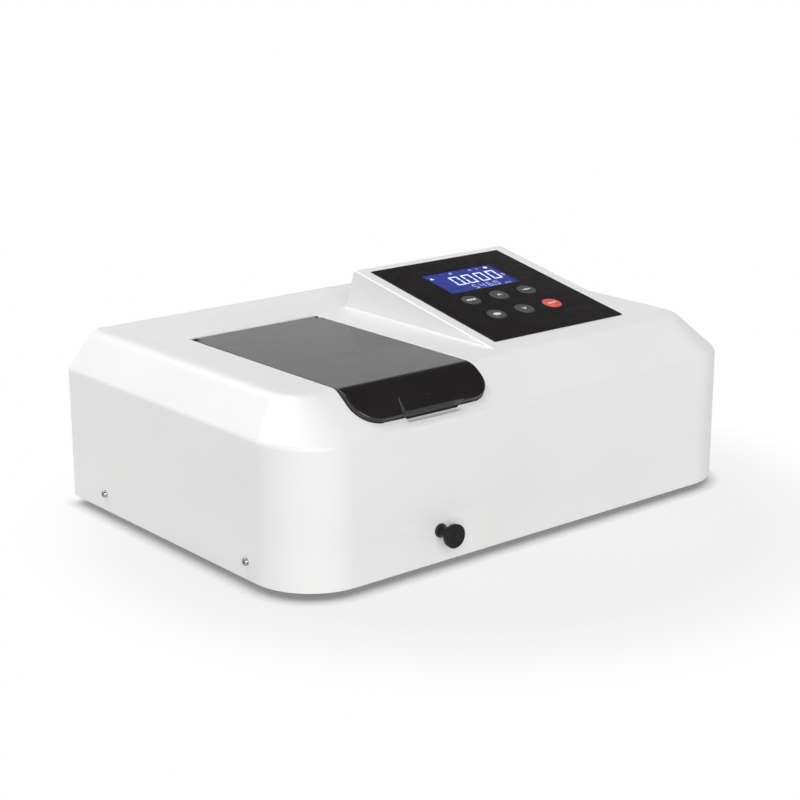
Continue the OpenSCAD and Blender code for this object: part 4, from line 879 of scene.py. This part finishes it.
SEGMENTS = {"0": "abcdef", "4": "bcfg", "5": "acdfg", "6": "acdefg", "8": "abcdefg"}


def digit(ch, x, y, w, h, t):
    """Seven-segment digit as outlines, slanted a little; x, y is its lower left corner."""
    g, m, out = t * 0.14, h / 2, []
    bars = {
        "a": [(g, h), (w - g, h), (w - t, h - t), (t, h - t)],
        "d": [(t, t), (w - t, t), (w - g, 0), (g, 0)],
        "g": [(t * 0.6, m), (t, m + t / 2), (w - t, m + t / 2), (w - t * 0.6, m), (w - t, m - t / 2),
              (t, m - t / 2)],
        "f": [(0, h - g), (t, h - t - g), (t, m + t / 2 + g), (t / 2, m + g), (0, m + t / 2)],
        "e": [(0, g), (t, t + g), (t, m - t / 2 - g), (t / 2, m - g), (0, m - t / 2)],
    }
    bars["b"] = [(w - px, py) for px, py in bars["f"]]
    bars["c"] = [(w - px, py) for px, py in bars["e"]]
    for s in SEGMENTS[ch]:
        out.append([(x + px + 0.09 * py, y + py) for px, py in bars[s]])
    return out


def build_display():
    """Display block with lit figures standing on its face."""
    front = -0.2
    gx, gy = GLASS.x, GLASS.y
    parts = [(rect(gx - LCD_W / 2 - 4, gy - LCD_H / 2 - 5, gx + LCD_W / 2 + 4, gy + LCD_H / 2 + 5),
              -10.4, -SKIN - 0.1, FACE),
             (rect(gx - LCD_W / 2 + 0.1, gy - LCD_H / 2 + 0.1, gx + LCD_W / 2 - 0.1, gy + LCD_H / 2 - 0.1),
              -SKIN - 0.2, front, FACE)]
    block = prisms("display_block", parts)
    round_edges(block, 0.3, 40, 1)
    smooth(block)
    place(block, "base", "lcd_blue", [FINISH["lcd_blue"]], "lcd_module")
    bright, dim = [], []
    x = gx - 19.2
    for k, ch in enumerate("0000"):
        bright += digit(ch, x, gy - 7.6, 9.2, 17.2, 1.55)
        if k == 0:
            bright.append(circle(x + 11.2, gy - 6.7, 1.0, 16))
        x += 13.6
    x = gx - 9.6
    for k, ch in enumerate("5460"):
        dim += digit(ch, x, gy - 18.6, 4.6, 7.6, 0.8)
        if k == 2:
            dim.append(circle(x + 6.1, gy - 18.2, 0.5, 12))
        x += 7.9
    # small signs on the top line and beside the figures
    bright += [[(gx - 35, gy + 10.6), (gx - 31, gy + 10.6), (gx - 33, gy + 14.6)]]
    dim += [rect(gx - 10, gy + 15.2, gx - 7, gy + 17.8), rect(gx + 12, gy + 15.2, gx + 15, gy + 16.0),
            rect(gx + 12, gy + 17.0, gx + 15, gy + 17.8), rect(gx + 20.6, gy + 15.2, gx + 21.6, gy + 17.8)]
    ring = circle(gx + 31, gy + 16.2, 1.9, 20)
    bright += [ring]
    dim += [rect(gx + 34.4, gy - 3.4 + 1.6 * k, gx + 37.2, gy - 2.6 + 1.6 * k) for k in range(3)]
    dim += [rect(gx + 24.0 + 2.4 * k, gy - 18.4, gx + 25.6 + 2.4 * k, gy - 17.2) for k in range(3)]
    for name, shapes, mat in (("display_figures", bright, LCD_LIGHT), ("display_signs", dim, LCD_DIM)):
        marks = prisms(name, [(s, front - 0.02, front + 0.06, FACE) for s in shapes])
        place(marks, "base", "lcd_blue", [mat])


def button_marks(name, c):
    """Printed sign on a button, as outlines about its centre."""
    x, y = c.x, c.y
    if name == "up" or name == "down":
        s = 1 if name == "up" else -1
        return [[(x - 2.3, y - 1.3 * s), (x - 1.4, y - 1.9 * s), (x, y + 0.5 * s), (x, y + 1.9 * s)],
                [(x + 2.3, y - 1.3 * s), (x + 1.4, y - 1.9 * s), (x, y + 0.5 * s), (x, y + 1.9 * s)]]
    if name == "mode":
        return [rect(x - 4.4 + 3.2 * k, y - 1.3, x - 2.0 + 3.2 * k, y + 1.3) for k in range(3)]
    if name == "zero":
        return [rect(x - 4.6, y - 0.5, x - 1.6, y + 0.5), rect(x + 1.6, y - 0.5, x + 4.6, y + 0.5),
                rounded_rect(x, y, 2.0, 3.2, 0.9, 4)]
    if name == "print":
        return [rect(x - 3.8, y - 1.3, x + 3.8, y + 0.6), rect(x - 2.4, y + 1.0, x + 2.4, y + 1.9),
                rect(x - 2.4, y - 2.4, x + 2.4, y - 1.7)]
    return [[(x - 4.6, y), (x - 2.4, y + 1.7), (x - 2.4, y - 1.7)],
            rect(x - 2.5, y - 0.5, x + 4.2, y + 0.5), rect(x + 3.2, y + 0.4, x + 4.2, y + 2.2)]


def build_button(name):
    """Round cap with a soft rim, a shallow dish and a printed sign."""
    node = "button_" + name
    c = on_face(node)
    matrix = FACE @ Matrix.Translation((c.x, c.y, 0))
    profile = [(0, -5.05), (BUTTON_R + 1.4, -5.05), (BUTTON_R + 1.4, -3.1), (BUTTON_R, -3.0),
               (BUTTON_R, 0.4)]
    profile += [(BUTTON_R - 0.6 + px, 0.4 + py) for px, py in arc(0, 0, 0.6, 12, 90, 6)]
    profile += [(BUTTON_R * (1 - k / 8), 1.0 - 0.12 * math.sin(math.pi / 2 * k / 8)) for k in range(1, 9)]
    cap = lathe("cap_" + name, profile, matrix, 56)
    smooth(cap, 35)
    slot = "button_red" if name == "enter" else "button_grey"
    place(cap, node, slot, [FINISH[slot]], node)
    marks = prisms("sign_" + name, [(s, 0.8, 1.0, FACE) for s in button_marks(name, c)])
    place(marks, node, slot, [PRINT])


def build_knob():
    """Turned pull knob: slim waist that flares into a flat disc head."""
    lo, hi = box_mm("pull_knob")
    c = (lo + hi) / 2
    long = hi.y - lo.y
    matrix = Matrix.Translation((c.x, hi.y, c.z)) @ Matrix.Rotation(math.pi / 2, 4, "X")
    profile = [(0, 0.0), (4.5, 0), (4.6, 0.2), (4.25, 2.0)]
    for k in range(1, 13):
        s = k / 12
        profile.append((4.2 + 4.6 * s ** 2.1, 2.5 + 9.0 * s))
    profile += [(8.5 + px, 14.8 + py) for px, py in arc(0, 0, 0.7, -10, 90, 6)]
    profile += [(7.6, long), (7.2, long - 0.15), (3.0, long - 0.15), (2.4, long), (0, long)]
    knob = lathe("knob", profile, matrix, 72)
    smooth(knob, 35)
    return place(knob, "carriage", "knob_black", [FINISH["knob_black"]], "pull_knob")


def build_seam_strip():
    """Pale soft strip that closes the gap behind the lid."""
    y0, y1 = LID_HI.y + 0.35, LID_HI.y + 1.45
    outline = rounded_rect((y0 + y1) / 2, Z_DECK - 1.9, y1 - y0, 2.2, 0.5, 4)
    strip = prisms("seam_strip", [(outline, LID_LO.x + 1.0, LID_HI.x - 1.0, ALONG_X)])
    smooth(strip, 50)
    return place(strip, "base", "shell", [SEAL_PALE])


def dress_cad_nodes():
    """Material and smooth shading for every CAD node that is shown as it is."""
    slots = {row["node"]: row["material_slot"] for row in frame["record"]["subparts"]}
    for name, obj in frame["nodes"].items():
        obj.data.materials.clear()
        obj.data.materials.append(FINISH[slots[name]])
        if obj.hide_render:
            continue
        obj.data.shade_smooth()
        obj.data.set_sharp_from_angle(angle=math.radians(32))
        mod = obj.modifiers.new("normals", "WEIGHTED_NORMAL")
        mod.keep_sharp = True


# ---- studio ----------------------------------------------------------------------------

def build_floor():
    """Wide pale floor: a painted soft shadow in grey around the object, white farther out, a painted
    contact shadow where the object stands.
    """
    size = 12000.0
    floor = new_object("floor", [(-size, -size, 0), (size, -size, 0), (size, size, 0), (-size, size, 0)],
                       [(0, 1, 2, 3)])
    s = Shader("floor_pale")
    # ambient occlusion darkens the floor's colour close to the object: a painted contact shadow
    contact_shade_ao = s.tree.nodes.new("ShaderNodeAmbientOcclusion")
    contact_shade_ao.samples = 8
    contact_shade_ao.inputs["Distance"].default_value = 0.012
    shade = s.ranged(contact_shade_ao.outputs["AO"], 0.25, 1.0, 0.35, 1.0)
    away = s.tree.nodes.new("ShaderNodeVectorMath")
    away.operation = "DISTANCE"
    s.link(s.coords, away.inputs[0])
    away.inputs[1].default_value = (0.0, -0.06, 0.0)
    # grey near the object, turning white farther out: a painted soft shadow
    pale = s.mixed(s.ranged(s.noise(3.0), 0.0, 1.0), (0.872, 0.872, 0.872), (0.886, 0.886, 0.886))
    pale = s.mixed(s.ranged(away.outputs["Value"], 0.0, 1.0, 0.24, 0.35), pale, (1.0, 1.0, 1.0))
    s.bsdf.inputs["Base Color"].default_value = (0.0, 0.0, 0.0, 1)
    s.bsdf.inputs["Roughness"].default_value = 0.9
    s.bsdf.inputs["Specular IOR Level"].default_value = 0.0
    s.link(s.mixed(shade, (0.0, 0.0, 0.0), pale), s.bsdf.inputs["Emission Color"])
    # the floor lights the object only half as much as it lights the lens
    path = s.tree.nodes.new("ShaderNodeLightPath")
    strength = s.ranged(path.outputs["Is Diffuse Ray"], 1.0, 0.5, 0.0, 1.0)
    s.link(strength, s.bsdf.inputs["Emission Strength"])
    floor.data.materials.append(s.mat)


def build_world():
    """White surround for the camera, a horizon band for reflections, soft light for the rest."""
    world = bpy.data.worlds.new("studio")
    bpy.context.scene.world = world
    world.use_nodes = True
    tree = world.node_tree
    nodes, links = tree.nodes, tree.links
    nodes.clear()
    out = nodes.new("ShaderNodeOutputWorld")
    coords = nodes.new("ShaderNodeTexCoord")
    split = nodes.new("ShaderNodeSeparateXYZ")
    links.new(coords.outputs["Generated"], split.inputs[0])
    path = nodes.new("ShaderNodeLightPath")

    def background(strength, colour=(1, 1, 1)):
        b = nodes.new("ShaderNodeBackground")
        b.inputs["Color"].default_value = (*colour, 1)
        if isinstance(strength, float):
            b.inputs["Strength"].default_value = strength
        else:
            links.new(strength, b.inputs["Strength"])
        return b.outputs[0]

    def stepped(stops):
        ramp = nodes.new("ShaderNodeValToRGB")
        ramp.color_ramp.interpolation = "EASE"
        links.new(split.outputs["Z"], ramp.inputs[0])
        elements = ramp.color_ramp.elements
        for i, (at, value) in enumerate(stops):
            e = elements[i] if i < 2 else elements.new(at)
            e.position = at
            e.color = (value, value, value, 1)
        return ramp.outputs["Color"]

    def either(factor, a, b):
        m = nodes.new("ShaderNodeMixShader")
        links.new(factor, m.inputs[0])
        links.new(a, m.inputs[1])
        links.new(b, m.inputs[2])
        return m.outputs[0]

    below = nodes.new("ShaderNodeMath")
    below.operation = "LESS_THAN"
    below.inputs[1].default_value = 0.0
    links.new(split.outputs["Z"], below.inputs[0])
    soft = either(below.outputs[0], background(0.25), background(0.25))
    mirror = background(stepped([(0.0, 0.85), (0.34, 0.8), (0.46, 0.05), (0.75, 0.03), (1.0, 0.3)]))
    lit = either(path.outputs["Is Glossy Ray"], soft, mirror)
    links.new(either(path.outputs["Is Camera Ray"], lit, background(1.0)), out.inputs["Surface"])


def aim(obj, at, towards):
    obj.location = at
    obj.rotation_mode = "QUATERNION"
    obj.rotation_quaternion = (Vector(towards) - Vector(at)).to_track_quat("-Z", "Y")


def build_lights():
    """Two very broad lamps: from the front on the left, and high from behind."""
    lamps = (("front_left", 2.6, 40, (-0.5, -0.8, 0.33)), ("overhead", 2.05, 50, (-0.2, 0.5, 0.84)))
    for name, energy, spread, towards in lamps:
        light = bpy.data.lights.new(name, "SUN")
        light.energy = energy
        light.angle = math.radians(spread)
        lamp = bpy.data.objects.new(name, light)
        bpy.context.scene.collection.objects.link(lamp)
        aim(lamp, towards, (0, 0, 0))


def build_camera():
    """The viewing angle: 39.8 degrees round to the left, 16.1 degrees down, long lens."""
    data = bpy.data.cameras.new("camera")
    data.sensor_width = 36.0
    data.lens = 83.03
    cam = bpy.data.objects.new("camera", data)
    bpy.context.scene.collection.objects.link(cam)
    turn, down = math.radians(39.79), math.radians(16.11)
    back = Vector((-math.sin(turn) * math.cos(down), -math.cos(turn) * math.cos(down), math.sin(down)))
    cam.location = (-0.94034, -1.11558, 0.49972)
    cam.rotation_mode = "QUATERNION"
    cam.rotation_quaternion = (-back).to_track_quat("-Z", "Y")
    data.clip_end = 50.0
    bpy.context.scene.camera = cam


build_housing()
build_lid()
build_panel()
build_display()
for button in BUTTONS:
    build_button(button)
build_knob()
build_seam_strip()
dress_cad_nodes()
build_floor()
build_world()
build_lights()
build_camera()
bpy.context.scene.view_settings.view_transform = "Standard"
